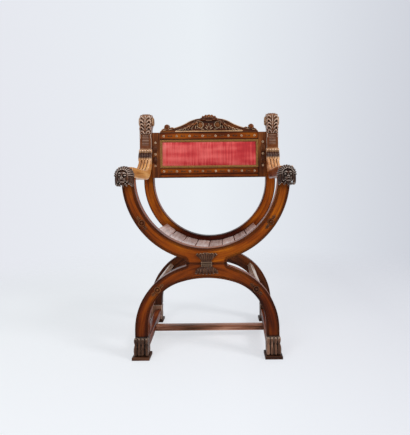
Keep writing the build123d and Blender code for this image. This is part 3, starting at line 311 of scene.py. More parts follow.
# Carving: near black in the hollows, settled wax and painted shade, and on the crowns bare pale wood with a
# # painted highlight
walnut_gold = walnut("walnut_medallion", "X", ("#4E2406", "#7E4410", "#AE7030"), carved="#E8B878", coat=0.2,
                     wear_and_glint=0.6)
walnut_carved = walnut("walnut_carved", "Z", CARVED, rough=0.34, carved="#E4B68A", coat=0.1)
walnut_button = walnut("walnut_button", "Z", ("#240E06", "#4E240C", "#7C4418"), carved="#C89060", wear_and_glint=0.5)
walnut_palm = walnut("walnut_palm", "Z", ("#22100A", "#4A2A18", "#765036"), carved="#E0C0A0", wear_and_glint=1.3)
walnut_mane = walnut("walnut_mane", "Z", ("#170A04", "#361A0B", "#603A20"), rough=0.3, carved="#FFE9D8",
                     coat=0.04, wear_and_glint=1.5)
walnut_crest = walnut("walnut_crest", "X", ("#280F04", "#5A2808", "#8C4A10"), rough=0.34, carved="#FFD8B0",
                      coat=0.02, wear_and_glint=1.4)
walnut_foot = walnut("walnut_foot", "Z", ("#2E1A0E", "#603F2C", "#946E58"), rough=0.34, carved="#F4D8C0",
                     coat=0.08, wear_and_glint=1.5)
# The rail flowers are pale all over: a painted highlight
walnut_petal = walnut("walnut_petal", "Z", LIGHT, rough=0.3, carved="#FFE0C0", coat=0.3)
# Arms: honey brown where hands rest, paler on the left one, painted as lit, and browner on the right one,
# # painted as shaded
walnut_arm = {
    side_name: walnut(f"walnut_arm_{side_name}", "Y", ("#A87448", "#E0B07C", "#FCDCB4"), rough=0.33,
                      carved="#FFE8D4", coat=0.04, tint_by_height=tint_by_height, wear_and_glint=1.9, hollow=ARM_HOLLOWS)
    for side_name, tint_by_height in (("left", LIT_ARM), ("right", SHADED_ARM))
}


# ---------------- finishing a piece
EDGE_SLOT, GROOVE_SLOT, SIDE_SLOT = 1, 2, 3     # a member's finishes after its main one


def settled(host):
    """The mesh of an object with its modifiers done."""
    bpy.context.view_layer.update()
    seen = host.evaluated_get(bpy.context.evaluated_depsgraph_get())
    return bpy.data.meshes.new_from_object(seen)


def discard(host):
    """Remove a helper object and its mesh."""
    mesh = host.data
    bpy.data.objects.remove(host)
    bpy.data.meshes.remove(mesh)


def mesh_from(shape, name):
    """The faces of a bmesh as a mesh. The bmesh is freed."""
    mesh = bpy.data.meshes.new(name)
    shape.to_mesh(mesh)
    shape.free()
    return mesh


def worked(mesh, *steps):
    """A mesh with modifiers done in place of the given one: each step is a modifier's kind and settings."""
    host = new_object("host", mesh)
    for kind, settings in steps:
        modifier = host.modifiers.new(kind, kind)
        for key, value in settings.items():
            setattr(modifier, key, value)
    done = settled(host)
    discard(host)
    return done


def melting(voxel):
    """A step that runs a mesh's overlapping parts into one closed skin, in voxels of so many millimetres."""
    return "REMESH", {"mode": "VOXEL", "voxel_size": voxel * MM, "use_smooth_shade": True}


def present(name, mesh, finishes, node=None):
    """Show a finished mesh as a piece of the chair that stands for the named CAD node."""
    piece = new_object(name, mesh)
    if finishes:
        mesh.materials.clear()
        for finish in finishes:
            mesh.materials.append(finish)
    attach(piece, "root")
    if node:
        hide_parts(node)
    return piece


def welded(node):
    """A CAD node's solid as a welded bmesh in metres."""
    solid = bmesh.new()
    solid.from_mesh(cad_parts[node].data)
    bmesh.ops.remove_doubles(solid, verts=solid.verts, dist=WELD)
    return solid


def solid_of(node):
    """A CAD node's solid as a welded bmesh in metres, its flat faces whole."""
    solid = welded(node)
    bmesh.ops.dissolve_limit(solid, angle_limit=radians(0.8), verts=solid.verts, edges=solid.edges)
    return solid


def eased(node, finish, width=1.4, edge=None, front=None, sides=None):
    """A member as the joiner leaves it: the CAD shape, its outer edges rounded, rubbed and given a painted
    highlight.

    width is that of the rounding in millimetres, and edge is its finish. front is the depth of the member's
    front face. What lies just behind it is the moulding, dark with old wax and painted shade. sides is the
    finish of the faces that turn away from the front, where it differs, and paints the light or shade on
    them.
    """
    solid = solid_of(node)
    weight = solid.edges.layers.float.new("bevel_weight_edge")
    if front is not None:
        for face in solid.faces:
            if front + 0.3 < face.calc_center_median().y / MM < front + 3.5:
                face.material_index = GROOVE_SLOT
            elif sides and abs(face.normal.y) < 0.3:
                face.material_index = SIDE_SLOT
    for line in solid.edges:
        if len(line.link_faces) == 2 and line.calc_face_angle_signed() > radians(28):
            if all(face.material_index != GROOVE_SLOT for face in line.link_faces):
                line[weight] = 1.0
    mesh = mesh_from(solid, node + "_eased")
    finishes = (finish, edge or walnut_lit_edge, walnut_groove, sides or finish)
    for each in finishes:
        mesh.materials.append(each)
    mesh.polygons.foreach_set("use_smooth", [True] * len(mesh.polygons))
    done = worked(mesh, ("BEVEL", {"width": width * MM, "segments": 3, "limit_method": "WEIGHT",
                                   "use_clamp_overlap": True, "material": EDGE_SLOT}))
    done.set_sharp_from_angle(angle=radians(15))
    present(node + "_finished", done, finishes, node)


# ---------------- carving tools
def round_steps(count, closed=False):
    """Angles at even steps round a circle, with one more to close it where that is asked."""
    return [2 * pi * k / count for k in range(count + closed)]


def smooth_run(points, steps):
    """Points on a smooth run through the given ones."""
    given = [Vector(p) for p in points]
    if len(given) == 2:
        return [given[0].lerp(given[1], k / steps) for k in range(steps + 1)]
    ends = [2 * given[0] - given[1], *given, 2 * given[-1] - given[-2]]
    run = []
    for a, b, c, d in zip(ends, ends[1:], ends[2:], ends[3:]):
        for k in range(steps):
            t = k / steps
            run.append(0.5 * (2 * b + (c - a) * t + (2 * a - 5 * b + 4 * c - d) * t * t
                              + (3 * b - a - 3 * c + d) * t ** 3))
    return run + [given[-1]]


def between(values, t):
    """A value from a list that is spread evenly over 0 to 1."""
    if not isinstance(values, (list, tuple)):
        return values
    place = t * (len(values) - 1)
    k = min(int(place), len(values) - 2)
    return values[k] + (values[k + 1] - values[k]) * (place - k)


def line(at, hand, *spots):
    """Points for a roll: at turns each spot (x, ...) into one, to the left for a hand of -1."""
    return [at(hand * x, *rest) for x, *rest in spots]


def roll(clay, points, widths, heights, out=OUT, sides=10, steps=5):
    """A run of clay along points: its width lies in the face, its height stands out of it."""
    run = smooth_run(points, steps)
    rings = []
    for k, point in enumerate(run):
        t = k / (len(run) - 1)
        way = run[min(k + 1, len(run) - 1)] - run[max(k - 1, 0)]
        way.normalize()
        across = way.cross(Vector(out))
        if across.length < 0.05:
            across = way.orthogonal()
        across.normalize()
        up = across.cross(way)
        wide, high = between(widths, t) / 2, between(heights, t) / 2
        rings.append([
            clay.verts.new(point + across * cos(a) * wide + up * sin(a) * high) for a in round_steps(sides)
        ])
    for first, second in zip(rings, rings[1:]):
        for s in range(sides):
            clay.faces.new((first[s], first[(s + 1) % sides], second[(s + 1) % sides], second[s]))
    clay.faces.new(list(reversed(rings[0])))
    clay.faces.new(rings[-1])


def ball(clay, centre, radii):
    """A lump of clay: radii along x, y and z."""
    place = Matrix.Translation(centre) @ Matrix.Diagonal((*radii, 1))
    bmesh.ops.create_uvsphere(clay, u_segments=20, v_segments=12, radius=1.0, matrix=place)


def slab(clay, outline, y_low, y_high):
    """A flat board: an outline of (x, z) between two depths."""
    near = [clay.verts.new((x, y_low, z)) for x, z in outline]
    far = [clay.verts.new((x, y_high, z)) for x, z in outline]
    clay.faces.new(near)
    clay.faces.new(list(reversed(far)))
    for k in range(len(outline)):
        n = (k + 1) % len(outline)
        clay.faces.new((near[n], near[k], far[k], far[n]))


def acanthus(clay, root, tip, side, width, thick, lobes):
    """A low acanthus leaf from root to tip: a rib with paired lobes that spread along side."""
    root, tip, side = Vector(root), Vector(tip), Vector(side).normalized()
    way = tip - root
    long = way.length
    arch = 0.12               # how far the rib bows out, by its length

    def rib(t):
        return root + way * t + OUT * long * (arch * sin(pi * t))

    roll(clay, [rib(t) for t in (0, 0.33, 0.66, 1)], [width * 0.3, width * 0.26, width * 0.2, width * 0.08],
         [thick, thick * 1.1, thick, thick * 0.5])
    for k in range(lobes):
        t = 0.06 + 0.66 * k / max(1, lobes - 1)
        spread = width / 2 * (0.8 + 0.35 * sin(pi * min(1.0, t * 1.4)) - 0.45 * t)
        for hand in (-1, 1):
            mid = rib(t + 0.12) + side * hand * spread * 0.62 + OUT * thick * 0.15
            end = rib(t + 0.24) + side * hand * spread - OUT * thick * 0.1
            roll(clay, [rib(t), mid, end], [long * 0.22, long * 0.24, long * 0.07],
                 [thick * 0.8, thick * 0.9, thick * 0.4])


def carve(clay, name, finish, node=None, *, voxel, smooth=2):
    """Melt the clay's parts into one carved piece and show it."""
    bmesh.ops.scale(clay, vec=(MM, MM, MM), verts=clay.verts)
    bmesh.ops.recalc_face_normals(clay, faces=clay.faces)
    softening = "SMOOTH", {"factor": 0.5, "iterations": smooth}
    present(name, worked(mesh_from(clay, name), melting(voxel), softening), (finish,), node)


# ---------------- plain members
# The upper arc's flanks take painted light and shade; the lower arch's flanks the dark back finish as painted
# shade
eased("front_upper_arc", walnut_arc, 3.0, front=FRONT_Y, sides=walnut_reveal)
eased("front_lower_arch", walnut_arch, 3.0, front=FRONT_Y, sides=walnut_deep)
eased("rear_upper_arc", walnut_rear_arc, 2.0)
eased("rear_lower_arch", walnut_rear_arch)
for index in range(8):
    eased(f"seat_slat_{index + 1}", walnut_slat, 0.8, edge=walnut_slat)
for _, side_name in SIDES:
    eased(f"side_stretcher_{side_name}", walnut_along)
    eased(f"arch_rail_{side_name}", walnut_lath)
    eased(f"back_stile_{side_name}", walnut_upright)
    for end in ("front", "rear"):
        eased(f"{end}_plinth_{side_name}", walnut_plinth, 0.8)
eased("cross_stretcher", walnut_rail, front=STRETCHER_Y)
eased("back_top_rail", walnut_across, front=PANEL_Y)
eased("back_bottom_rail", walnut_across, front=PANEL_Y)
eased("back_board", walnut_deep, 0.8)


# ---------------- lion heads
# Locks beside the face, from the eye back: place across and forward, top, low end, width
LOCKS = ((19, 44, 14, -20, 8), (25, 36, 17, -27, 9), (29, 25, 18, -31, 10), (30, 12, 17, -33, 10),
         (29, -2, 17, -33, 10))


def lion_head(side, node):
    """A lion's head that looks forward from an arm: combed cap, brow, nose, muzzle and hanging locks."""
    clay = bmesh.new()

    def at(x, forward, z):
        return Vector((side * ARM_X + x, FRONT_Y - forward, HEAD_Z + z))

    ball(clay, at(0, 10, 1), (28, 26, 33))
    ball(clay, at(0, 28, 5), (24, 22, 26))
    ball(clay, at(0, 30, -18), (16, 20, 15))
    # cap of combed hair, from the back of the head over to the brow
    for k in range(-6, 7):
        a = radians(k * 15)
        lean = Vector((sin(a), 0, cos(a)))
        back, top, brow, tip = (at(0, forward, z) for forward, z in ((-14, 2), (10, 4), (36, 5), (47, 6)))
        roll(clay, [back + lean * 27, top + lean * 32.5, brow + lean * 29, tip + lean * 19],
             [6, 8, 7.5, 5], [6, 10, 10, 7], out=lean)
    for way in (-1, 1):
        for row, (x, forward, top, low, wide) in enumerate(LOCKS):
            out = Vector((way, -0.9 if row < 2 else -0.25, 0)).normalized()
            lock = line(at, way, (x - 3, forward, top), (x, forward + 2, (top + low) / 2 + 4),
                        (x - 1, forward + 1, low + 5), (x - 5, forward + 3, low))
            roll(clay, lock, [wide * 0.7, wide, wide * 1.15, wide * 0.5], [6, 8, 9, 6], out=out)
        # beard, brow, eye, cheek, muzzle and lip
        roll(clay, line(at, way, (8, 45, -24), (12, 40, -31), (12, 30, -35)), [7, 9, 4], [7, 8, 5])
        roll(clay, line(at, way, (2, 53, 10), (8, 53, 13), (16, 47, 9)), [6, 7, 4], [6, 7, 4])
        ball(clay, at(way * 9, 49.5, 4.5), (4.4, 3.4, 3.4))
        ball(clay, at(way * 13, 43, -7), (6.5, 7, 9))
        ball(clay, at(way * 5.6, 54.5, -9.5), (7.2, 6.6, 6.2))
        roll(clay, line(at, way, (1.5, 60, -7), (8, 57, -13), (12, 49, -16)), [4.5, 5, 3], [4, 4, 3])
    # nose, chin and the beard's middle
    roll(clay, [at(0, 51, 13), at(0, 54, 6), at(0, 59, -1), at(0, 61, -4)], [9, 7, 8, 11], [8, 8, 8, 6],
         out=(0, -0.8, 0.6))
    ball(clay, at(0, 52, -19), (8.5, 6.5, 4.6))
    roll(clay, [at(0, 50, -22), at(0, 45, -30), at(0, 34, -36)], [9, 10, 4], [7, 8, 4], out=(0, -0.7, -0.7))
    carve(clay, node.replace("arm", "lion"), walnut_mane, node, voxel=0.9)


for side, side_name in SIDES:
    lion_head(side, f"arm_head_{side_name}")


# ---------------- crest
# The board's edge from its end to the shell: place across, rise above the rail
CREST_EDGE = ((237, 6), (222, 13), (186, 18), (153, 27), (120, 40), (92, 55), (66, 64), (38, 68))
# Lobes of the falling leaf: place across, low end, crown, length, width
LEAF_LOBES = ((58, 22, 46, 27, 12), (76, 18, 38, 24, 11), (95, 14, 28, 20, 10), (114, 10, 19, 15, 8))


def crest():
    """The carved crest: a shaped board with a bead at its foot, shell, medallions, leaves and knobs."""
    clay, discs, bead = bmesh.new(), bmesh.new(), bmesh.new()

    def at(x, rise, proud=0.0):
        return Vector((x, CREST_Y - proud, PANEL_TOP + rise))

    edge = smooth_run([(x, 0, PANEL_TOP + rise) for x, rise in CREST_EDGE], 4)
    right = [(CREST_EDGE[0][0], PANEL_TOP)] + [(p.x, p.z) for p in edge]
    slab(clay, right + [(-x, z) for x, z in reversed(right)], CREST_Y, CREST_BACK_Y)
    # shell of seven lobes over two cross rolls, with a pearl in the middle
    roll(clay, [at(-90, 53), at(0, 57, 1), at(90, 53)], [2, 5, 2], [3, 7, 3], steps=10)
    for lobe in range(7):
        lean = radians(90 + (lobe / 6 - 0.5) * 150)
        root = at(0, 57) + Vector((cos(lean), 0, sin(lean))) * 6
        tip = at(cos(lean) * 43, 57 + sin(lean) * 26, 1)
        wide = 16 - abs(lobe - 3)
        roll(clay, [root, (root + tip) / 2 + OUT * 5, tip + OUT], [4, 13, wide], [8, 13, 10])
    roll(clay, [at(-44, 55), at(-22, 58, 4), at(0, 55, 5), at(22, 58, 4), at(44, 55)],
         [3, 6, 7, 6, 3], [4, 7, 8, 7, 4])
    ball(clay, at(0, 60, 2), (9, 6, 6))
    for side in (-1, 1):
        # medallion: a disc with six petals, in a ring
        centre = at(side * 42, 36)
        ring = [centre + Vector((cos(a) * 15.4, -2, sin(a) * 15.4)) for a in round_steps(28, closed=True)]
        roll(clay, ring, 3.4, 5, steps=1)
        ball(discs, centre, (14, 5.6, 14))
        for a in round_steps(6):
            ball(discs, centre + Vector((cos(a) * 5.5, -4.2, sin(a) * 5.5)), (3.6, 2.2, 3.6))
        # a leaf that falls outward from the medallion: curled lobes over a long stem
        stem = line(at, side, (22, 60, 2), (40, 58, 3), (60, 52, 3), (92, 33, 3), (128, 16, 2), (158, 9, 1))
        roll(clay, stem, [5, 6, 6, 5, 4, 2], [6, 7, 7, 6, 5, 3])
        for x, low, reach, long, wide in LEAF_LOBES:
            curl = line(at, side, (x + long * 0.9, low - 4, 1), (x + long * 0.55, (low + reach) / 2, 5),
                        (x, reach, 6), (x - 3, reach - 9, 5))
            roll(clay, curl, [3, wide * 0.8, wide, 4], [6, 11, 12, 7])
            spine = line(at, side, (x + long * 0.3, low - 5, 1), (x + 5, (low + reach) / 2 - 3, 3))
            roll(clay, spine, [3, wide * 0.6], [4, 8])
        tendril = line(at, side, (24, 14, 1), (34, 15, 2), (48, 22, 2), (58, 18, 1))
        roll(clay, tendril, [3, 5, 5, 2], [4, 5, 5, 3])
        rim = line(at, side, *((x, rise - 2.5, 0.5) for x, rise in CREST_EDGE[1:7]))
        roll(clay, rim, [4.5, 5, 5, 5, 5, 4.5], [6, 7, 7, 7, 7, 6], steps=4)
        # knob in a ring of petals, between two small scrolls
        ball(clay, at(side * 203, 26, -9), (15, 14, 15))
        ball(clay, at(side * 203, 26, 5), (9, 4, 9))
        for a in round_steps(8):
            ball(clay, at(side * (203 + cos(a) * 9.5), 26 + sin(a) * 9.5, 2.2), (4.2, 4, 4.2))
        roll(clay, line(at, side, (188, 20), (176, 22, 2), (164, 17, 1)), [6, 8, 2], [5, 6, 3])
        roll(clay, line(at, side, (215, 18), (224, 14, 1), (232, 8)), [6, 7, 2], [5, 5, 3])
    # the fan of five leaves between the medallions
    for lean, long, wide in ((90, 31, 11), (64, 26, 9), (116, 26, 9), (38, 22, 8), (142, 22, 8)):
        way = Vector((cos(radians(lean)), 0, sin(radians(lean))))
        root = at(0, 9)
        roll(clay, [root, root + way * long * 0.55 + OUT * 4, root + way * long + OUT * 3],
             [3, wide, wide * 0.4], [6, 12, 8])
    carve(discs, "crest_medallions", walnut_gold, voxel=0.9)
    # the bead takes the pale edge finish: a painted highlight along it
    roll(bead, [at(-163, 5), at(163, 5)], 5.5, 7, steps=60)
    carve(bead, "crest_bead", walnut_lit_edge, voxel=1.15)
    carve(clay, "crest_carving", walnut_crest, "crest_board", voxel=1.15)


crest()


# ---------------- hub and frame ornament
def hub_carving():
    """The palm fan, banded waist and hanging foliage over the joint of the front frame."""
    clay = bmesh.new()

    def at(x, proud, z):
        return Vector((x, FRONT_Y - proud, HUB_Z + z))

    for k in range(-3, 4):
        root, tip = at(k * 4.2, 0, 4), at(k * 12.3, 2, 40 - abs(k) * 1.3)
        roll(clay, [root, (root + tip) / 2 + Vector((-k * 1.2, -3, 0)), tip], [6, 9, 12], [7, 9, 9])
    waist = [(-19, HUB_Z - 10), (19, HUB_Z - 10), (19, HUB_Z + 7), (-19, HUB_Z + 7)]
    slab(clay, waist, FRONT_Y - 3, FRONT_Y + 3)
    for z in (-9, -2, 5):
        roll(clay, [at(-20, 3, z), at(20, 3, z)], 5, 7, steps=12)
    for k in range(-3, 4):
        root, tip = at(k * 4.5, 0, -12), at(k * 13.4, 2, -42 + abs(k) * 1.5)
        roll(clay, [root, (root + tip) / 2 + Vector((k * 1.5, -4, 0)), tip], [8, 13, 9], [6, 10, 7])
    for side in (-1, 1):
        roll(clay, line(at, side, (16, 2, -14), (30, 4, -22), (41, 3, -30)), [5, 9, 6], [6, 9, 6])
    carve(clay, "hub_palmette", walnut_palm, "hub_carving", voxel=0.8)


def frame_rosettes():
    """Four carved buttons on the front frame, each in a sunk ring with a low leaf up and down the band."""
    clay = bmesh.new()
    for side in (-1, 1):
        for x, z, slope in ((244.0, 517.0, 54.7), (187.0, 263.0, -45.3)):
            along = Vector((side * cos(radians(slope)), 0, sin(radians(slope))))
            across = Vector((-along.z, 0, along.x))
            centre = Vector((side * x, FRONT_Y, z))
            ball(clay, centre, (5.6, 6.4, 5.6))
            ring = [centre + (along * cos(a) + across * sin(a)) * 11 + OUT * 1.2
                    for a in round_steps(20, closed=True)]
            roll(clay, ring, 4.4, 5.5, steps=1)
            for way in (-1, 1):
                acanthus(clay, centre + along * way * 15, centre + along * way * 31, across, 15, 4, 3)
    carve(clay, "band_rosettes", walnut_button, "frame_rosettes", voxel=0.8, smooth=1)


hub_carving()
frame_rosettes()


# ---------------- feet
# Lines of the carving up a foot's face and flank: height, growth out of the leg
TOE = ((13, 2), (22, 4.5), (34, 4.5), (48, 2), (60, 0))
TOE_LEAF = ((50, -1), (60, 2), (70, 5), (77, 5), (79, 2))
FLANK = ((13, 2), (24, 4), (38, 3.5), (52, 1), (60, 0))
FLANK_LEAF = ((52, 0), (62, 1.5), (71, 3), (77, 2))


def scroll_foot(name, side, toe_way, leg_in, leg_out):
    """A scroll foot: reeded toes that swell at the floor, under curled leaf tips and a quirk."""
    clay = bmesh.new()
    face_y, back_y = (FRONT_Y, FRONT_BACK_Y) if toe_way < 0 else (REAR_BACK_Y, REAR_Y)
    low_y, high_y = sorted((face_y - toe_way * 0.5, back_y))
    block = ((leg_in + 0.5, 12), (leg_out + 2, 12), (leg_out + 2, 66), (leg_out, 80), (leg_in + 0.5, 80))
    slab(clay, [(side * x, z) for x, z in block], low_y, high_y)
    quirk = ((leg_in + 2.5, 78), (leg_out - 2.5, 78), (leg_out - 2.5, 84), (leg_in + 2.5, 84))
    slab(clay, [(side * x, z) for x, z in quirk], low_y + 2.5, high_y - 2.5)
    pitch = (leg_out + 4 - leg_in) / 4
    out = (0, toe_way, 0)
    for k in range(4):
        x = side * (leg_in + pitch * (k + 0.5))
        roll(clay, [(x, face_y + toe_way * grow, z) for z, grow in TOE],
             [pitch * 0.8, pitch * 0.92, pitch * 0.9, pitch * 0.8, pitch * 0.5], [6, 9, 9, 8, 5], out=out)
        roll(clay, [(x, face_y + toe_way * grow, z) for z, grow in TOE_LEAF],
             [4, pitch * 0.8, pitch * 0.95, pitch * 0.8, 4], [5, 7, 8, 7, 4], out=out)
    out = (side, 0, 0)
    for k in range(3):
        y = face_y - toe_way * (9 + 13.5 * k)
        roll(clay, [(side * (leg_out + grow), y, z) for z, grow in FLANK],
             [10, 12, 12, 10, 6], [5, 7, 7, 5, 3], out=out)
        roll(clay, [(side * (leg_out + grow), y, z) for z, grow in FLANK_LEAF],
             [5, 11, 12, 5], [4, 6, 6, 4], out=out)
    carve(clay, name + "_carved", walnut_foot, name, voxel=1.0)


for side, side_name in SIDES:
    scroll_foot(f"front_foot_{side_name}", side, -1, 224, 274)
    scroll_foot(f"rear_foot_{side_name}", side, 1, 240, 292)


# ---------------- arms
# Lobes of the climbing leaf: height, reach to the side, rise, set back
CLIMBING_LOBES = ((912, 20, 13, 0), (926, 25, 18, 0), (944, 22, 15, 0), (957, 26, 20, 0), (978, 23, 16, 4))
# A reed's line down the bend: degrees below level, growth out of the arm
REED = ((34, 2.5), (48, 3.5), (62, 3.5), (76, 2.5), (90, 0.5))


def bend_spot(radius, fall):
    """A point (y, z) on a circle round the bend's centre, fall degrees below level."""
    return BEND_Y + radius * cos(radians(fall)), BEND_Z - radius * sin(radians(fall))


def carved_arm(side, name, finish):
    """One arm and post: reeds, a rolled leaf at the bend, a framed ridged strip and a climbing leaf."""
    clay = welded(name)
    bmesh.ops.scale(clay, vec=(1 / MM, 1 / MM, 1 / MM), verts=clay.verts)
    x0 = side * ARM_X

    def at(x, proud, z):
        return Vector((x0 + x, POST_Y - proud, z))

    # climbing leaf: a rib with pairs of curled lobes, high enough to throw shadows
    roll(clay, [at(0, 1, 916), at(0, 5, 945), at(0, 5, 975), at(0, -4, 1000)], [5, 8, 8, 5], [6, 9, 9, 6])
    for way in (-1, 1):
        for z, reach, rise, back in CLIMBING_LOBES:
            lobe = line(at, way, (3, 3 - back, z), (reach * 0.45, 7 - back, z + rise * 0.75),
                        (reach * 0.85, 7 - back, z + rise), (reach, 4 - back, z + rise * 0.45),
                        (reach * 0.78, 3 - back, z + rise * 0.2))
            roll(clay, lobe, [4, 8, 9, 8, 4], [6, 10, 10, 8, 5])
            spine = line(at, way, (5, 3 - back, z + 3), (reach * 0.6, 4 - back, z + rise * 0.35))
            roll(clay, spine, [3, 5], [5, 6])
    # three rows of feathers over the volute
    over_r = VOLUTE_R + 1
    for a, wide in ((150, 42), (118, 36), (86, 26)):
        out = (0, cos(radians(a)), sin(radians(a)))
        for k in (-1.5, -0.5, 0.5, 1.5):
            turns = [radians(a + step) for step in (6, -8, -22)]
            x = x0 + k * wide * 0.27
            feather = [(x, VOLUTE_Y + over_r * cos(t), VOLUTE_Z + over_r * sin(t)) for t in turns]
            roll(clay, feather, [wide * 0.16, wide * 0.26, wide * 0.1], [5, 8, 4], out=out)
    # raised rims of the strip
    for way in (-1, 1):
        roll(clay, line(at, way, (24, 0, 892), (24, 0, 912)), 4, 4, steps=10)
    # drooping leaves of the collar, then the reeds that fan out below it
    for k in range(5):
        x = x0 + (k - 2) * 12
        droop = [(x, *bend_spot(BEND_R - grow, fall)) for grow, fall in ((2, 14), (8, 22), (3, 33))]
        roll(clay, droop, [9, 13, 6], [7, 9, 5], out=(0, -0.9, 0.4))
    for k in range(4):
        x = x0 + (k - 1.5) * 14.2
        reed = [(x, *bend_spot(BEND_R - grow, fall)) for fall, grow in REED]
        roll(clay, reed, [10.5, 11.5, 12, 11, 6], [5, 6, 6, 5, 2], out=(0, -0.75, 0.65))
    carve(clay, name + "_carved", finish, name, voxel=1.36)


for side, side_name in SIDES:
    carved_arm(side, f"arm_{side_name}", walnut_arm[side_name])


# ---------------- repeated trim
def tree_for(name, inputs):
    """A geometry tree with named inputs and one geometry output."""
    tree = bpy.data.node_groups.new(name, "GeometryNodeTree")
    for label, kind in inputs:
        tree.interface.new_socket(label, in_out="INPUT", socket_type="NodeSocket" + kind)
    tree.interface.new_socket("Trim", in_out="OUTPUT", socket_type="NodeSocketGeometry")
    return tree, tree.nodes.new("NodeGroupInput").outputs


def close_tree(tree, instances, finish):
    """End a tree: real meshes with their finish."""
    real = add(tree, "GeometryNodeRealizeInstances", Geometry=instances)
    dressed = add(tree, "GeometryNodeSetMaterial", Geometry=real, Material=finish)
    add(tree, "NodeGroupOutput", s0=dressed)


def seat_tree():
    """Sets a pattern on every point of a mesh, turned as the point's turn says, each a little different."""
    tree, given = tree_for("set_on_seats", (
        ("Seats", "Geometry"), ("Pattern", "Object"), ("Size", "Float"), ("Unevenness", "Float"),
        ("Seed", "Int"), ("Finish", "Material"),
    ))
    pattern = add(tree, "GeometryNodeObjectInfo", Object=given["Pattern"])
    turn = add(tree, "GeometryNodeInputNamedAttribute", {"data_type": "FLOAT_VECTOR"}, Name="turn")
    facing = add(tree, "FunctionNodeEulerToRotation", Euler=turn.outputs["Attribute"])
    spin = add(tree, "FunctionNodeRandomValue", FLOAT, Seed=given["Seed"])
    wander = add(tree, "ShaderNodeMath", "MULTIPLY_ADD", s0=spin.outputs[1], s1=given["Unevenness"], s2=1.0)
    size = add(tree, "ShaderNodeMath", "MULTIPLY", s0=wander, s1=given["Size"])
    placed = add(
        tree, "GeometryNodeInstanceOnPoints", Points=given["Seats"], Instance=pattern.outputs["Geometry"],
        Rotation=facing, Scale=size,
    )
    close_tree(tree, placed, given["Finish"])
    return tree


def run_tree():
    """Sets a pattern along a closed run at an even pitch."""
    tree, given = tree_for("set_along_run", (
        ("Run", "Geometry"), ("Pattern", "Object"), ("Pitch", "Float"), ("Finish", "Material"),
    ))
    pattern = add(tree, "GeometryNodeObjectInfo", Object=given["Pattern"])
    curve = add(tree, "GeometryNodeMeshToCurve", Mesh=given["Run"])
    points = add(tree, "GeometryNodeCurveToPoints", {"mode": "LENGTH"}, Curve=curve, Length=given["Pitch"])
    placed = add(
        tree, "GeometryNodeInstanceOnPoints", Points=points.outputs["Points"],
        Instance=pattern.outputs["Geometry"], Rotation=points.outputs["Rotation"],
    )
    close_tree(tree, placed, given["Finish"])
    return tree


def grown(tree, host_mesh, pattern_mesh, finish, **inputs):
    """Run a tree over a mesh of seats and return the finished trim as a plain mesh."""
    pattern = new_object("pattern", pattern_mesh)
    host = new_object("seats", host_mesh)
    grow = host.modifiers.new("grow", "NODES")
    grow.node_group = tree
    keys = {s.name: s.identifier for s in tree.interface.items_tree if s.in_out == "INPUT"}
    grow[keys["Pattern"]] = pattern
    grow[keys["Finish"]] = finish
    for name, value in inputs.items():
        grow[keys[name]] = value
    done = settled(host)
    discard(host)
    discard(pattern)
    return done


def seats(points, turns):
    """A mesh of loose points in metres, each with its own turn."""
    mesh = bpy.data.meshes.new("seats")
    mesh.from_pydata([tuple(c * MM for c in p) for p in points], [], [])
    turn = mesh.attributes.new("turn", "FLOAT_VECTOR", "POINT")
    turn.data.foreach_set("vector", [c for t in turns for c in t])
    return mesh


def polar_shape(name, rings, count, height, pull=lambda t, a: 1.0):
    """A round ornament that looks along -Y.

    rings are radii in millimetres. height gives how far a point stands out, and pull how far it is drawn out.
    """
    shape = bmesh.new()
    rows = []
    for r in rings:
        t = r / rings[-1]
        row = []
        for a in round_steps(count):
            reach = r * pull(t, a)
            row.append(shape.verts.new((reach * cos(a) * MM, -height(t, a) * MM, reach * sin(a) * MM)))
        rows.append(row)
    for inner, outer in zip(rows, rows[1:]):
        for k in range(count):
            n = (k + 1) % count
            shape.faces.new((inner[k], inner[n], outer[n], outer[k]))
    shape.faces.new(list(reversed(rows[0])))
    shape.faces.new(rows[-1])
    bmesh.ops.recalc_face_normals(shape, faces=shape.faces)
    for face in shape.faces:
        face.smooth = True
    return mesh_from(shape, name)


on_seats = seat_tree()
along_run = run_tree()


def rail_rosettes():
    """Twenty-two small carved flowers on the rails and stiles round the velvet: a pistil in eight petals."""
    spots = [((k - 3.5) * FLOWER_PITCH, z) for z in FLOWER_ROWS for k in range(8)]
    spots += [(side * STILE_X, z) for side in (-1, 1) for z in (760.0, 816.0, 872.0)]
    points = [(x, PANEL_Y, z) for x, z in spots]

    def height(t, a):
        return 4.0 * max(0.0, 1 - (t * 2.6) ** 2) + 2.6 * max(0.0, 1 - t ** 3) * (0.62 + 0.38 * cos(8 * a))

    rings = (0.8, 1.6, 2.4, 3.2, 4.6, 5.8, 6.5)
    flower = polar_shape("flower", rings, 32, height, lambda t, a: 1.0 + 0.07 * t * cos(8 * a))
    places = seats(points, [(0, 0, 0)] * len(points))
    mesh = grown(on_seats, places, flower, walnut_petal, Size=0.8, Unevenness=0.1, Seed=4)
    present("rail_flowers", mesh, (), "rail_rosettes")


def panel_leaves():
    """Low leaves between the carved flowers: upright ones on the stiles, lying ones on the rails."""
    clay = bmesh.new()
    for side in (-1, 1):
        for z in (788.0, 844.0):
            x = side * STILE_X
            acanthus(clay, (x, PANEL_Y, z - 19), (x, PANEL_Y, z + 19), (1, 0, 0), 20, 4, 4)
        for z in FLOWER_ROWS:
            for k in range(0 if side > 0 else 1, 4):
                x = side * FLOWER_PITCH * k
                acanthus(clay, (x - 11, PANEL_Y, z), (x + 11, PANEL_Y, z), (0, 0, 1), 9, 2.6, 2)
    carve(clay, "panel_leaves", walnut_button, voxel=0.8, smooth=1)


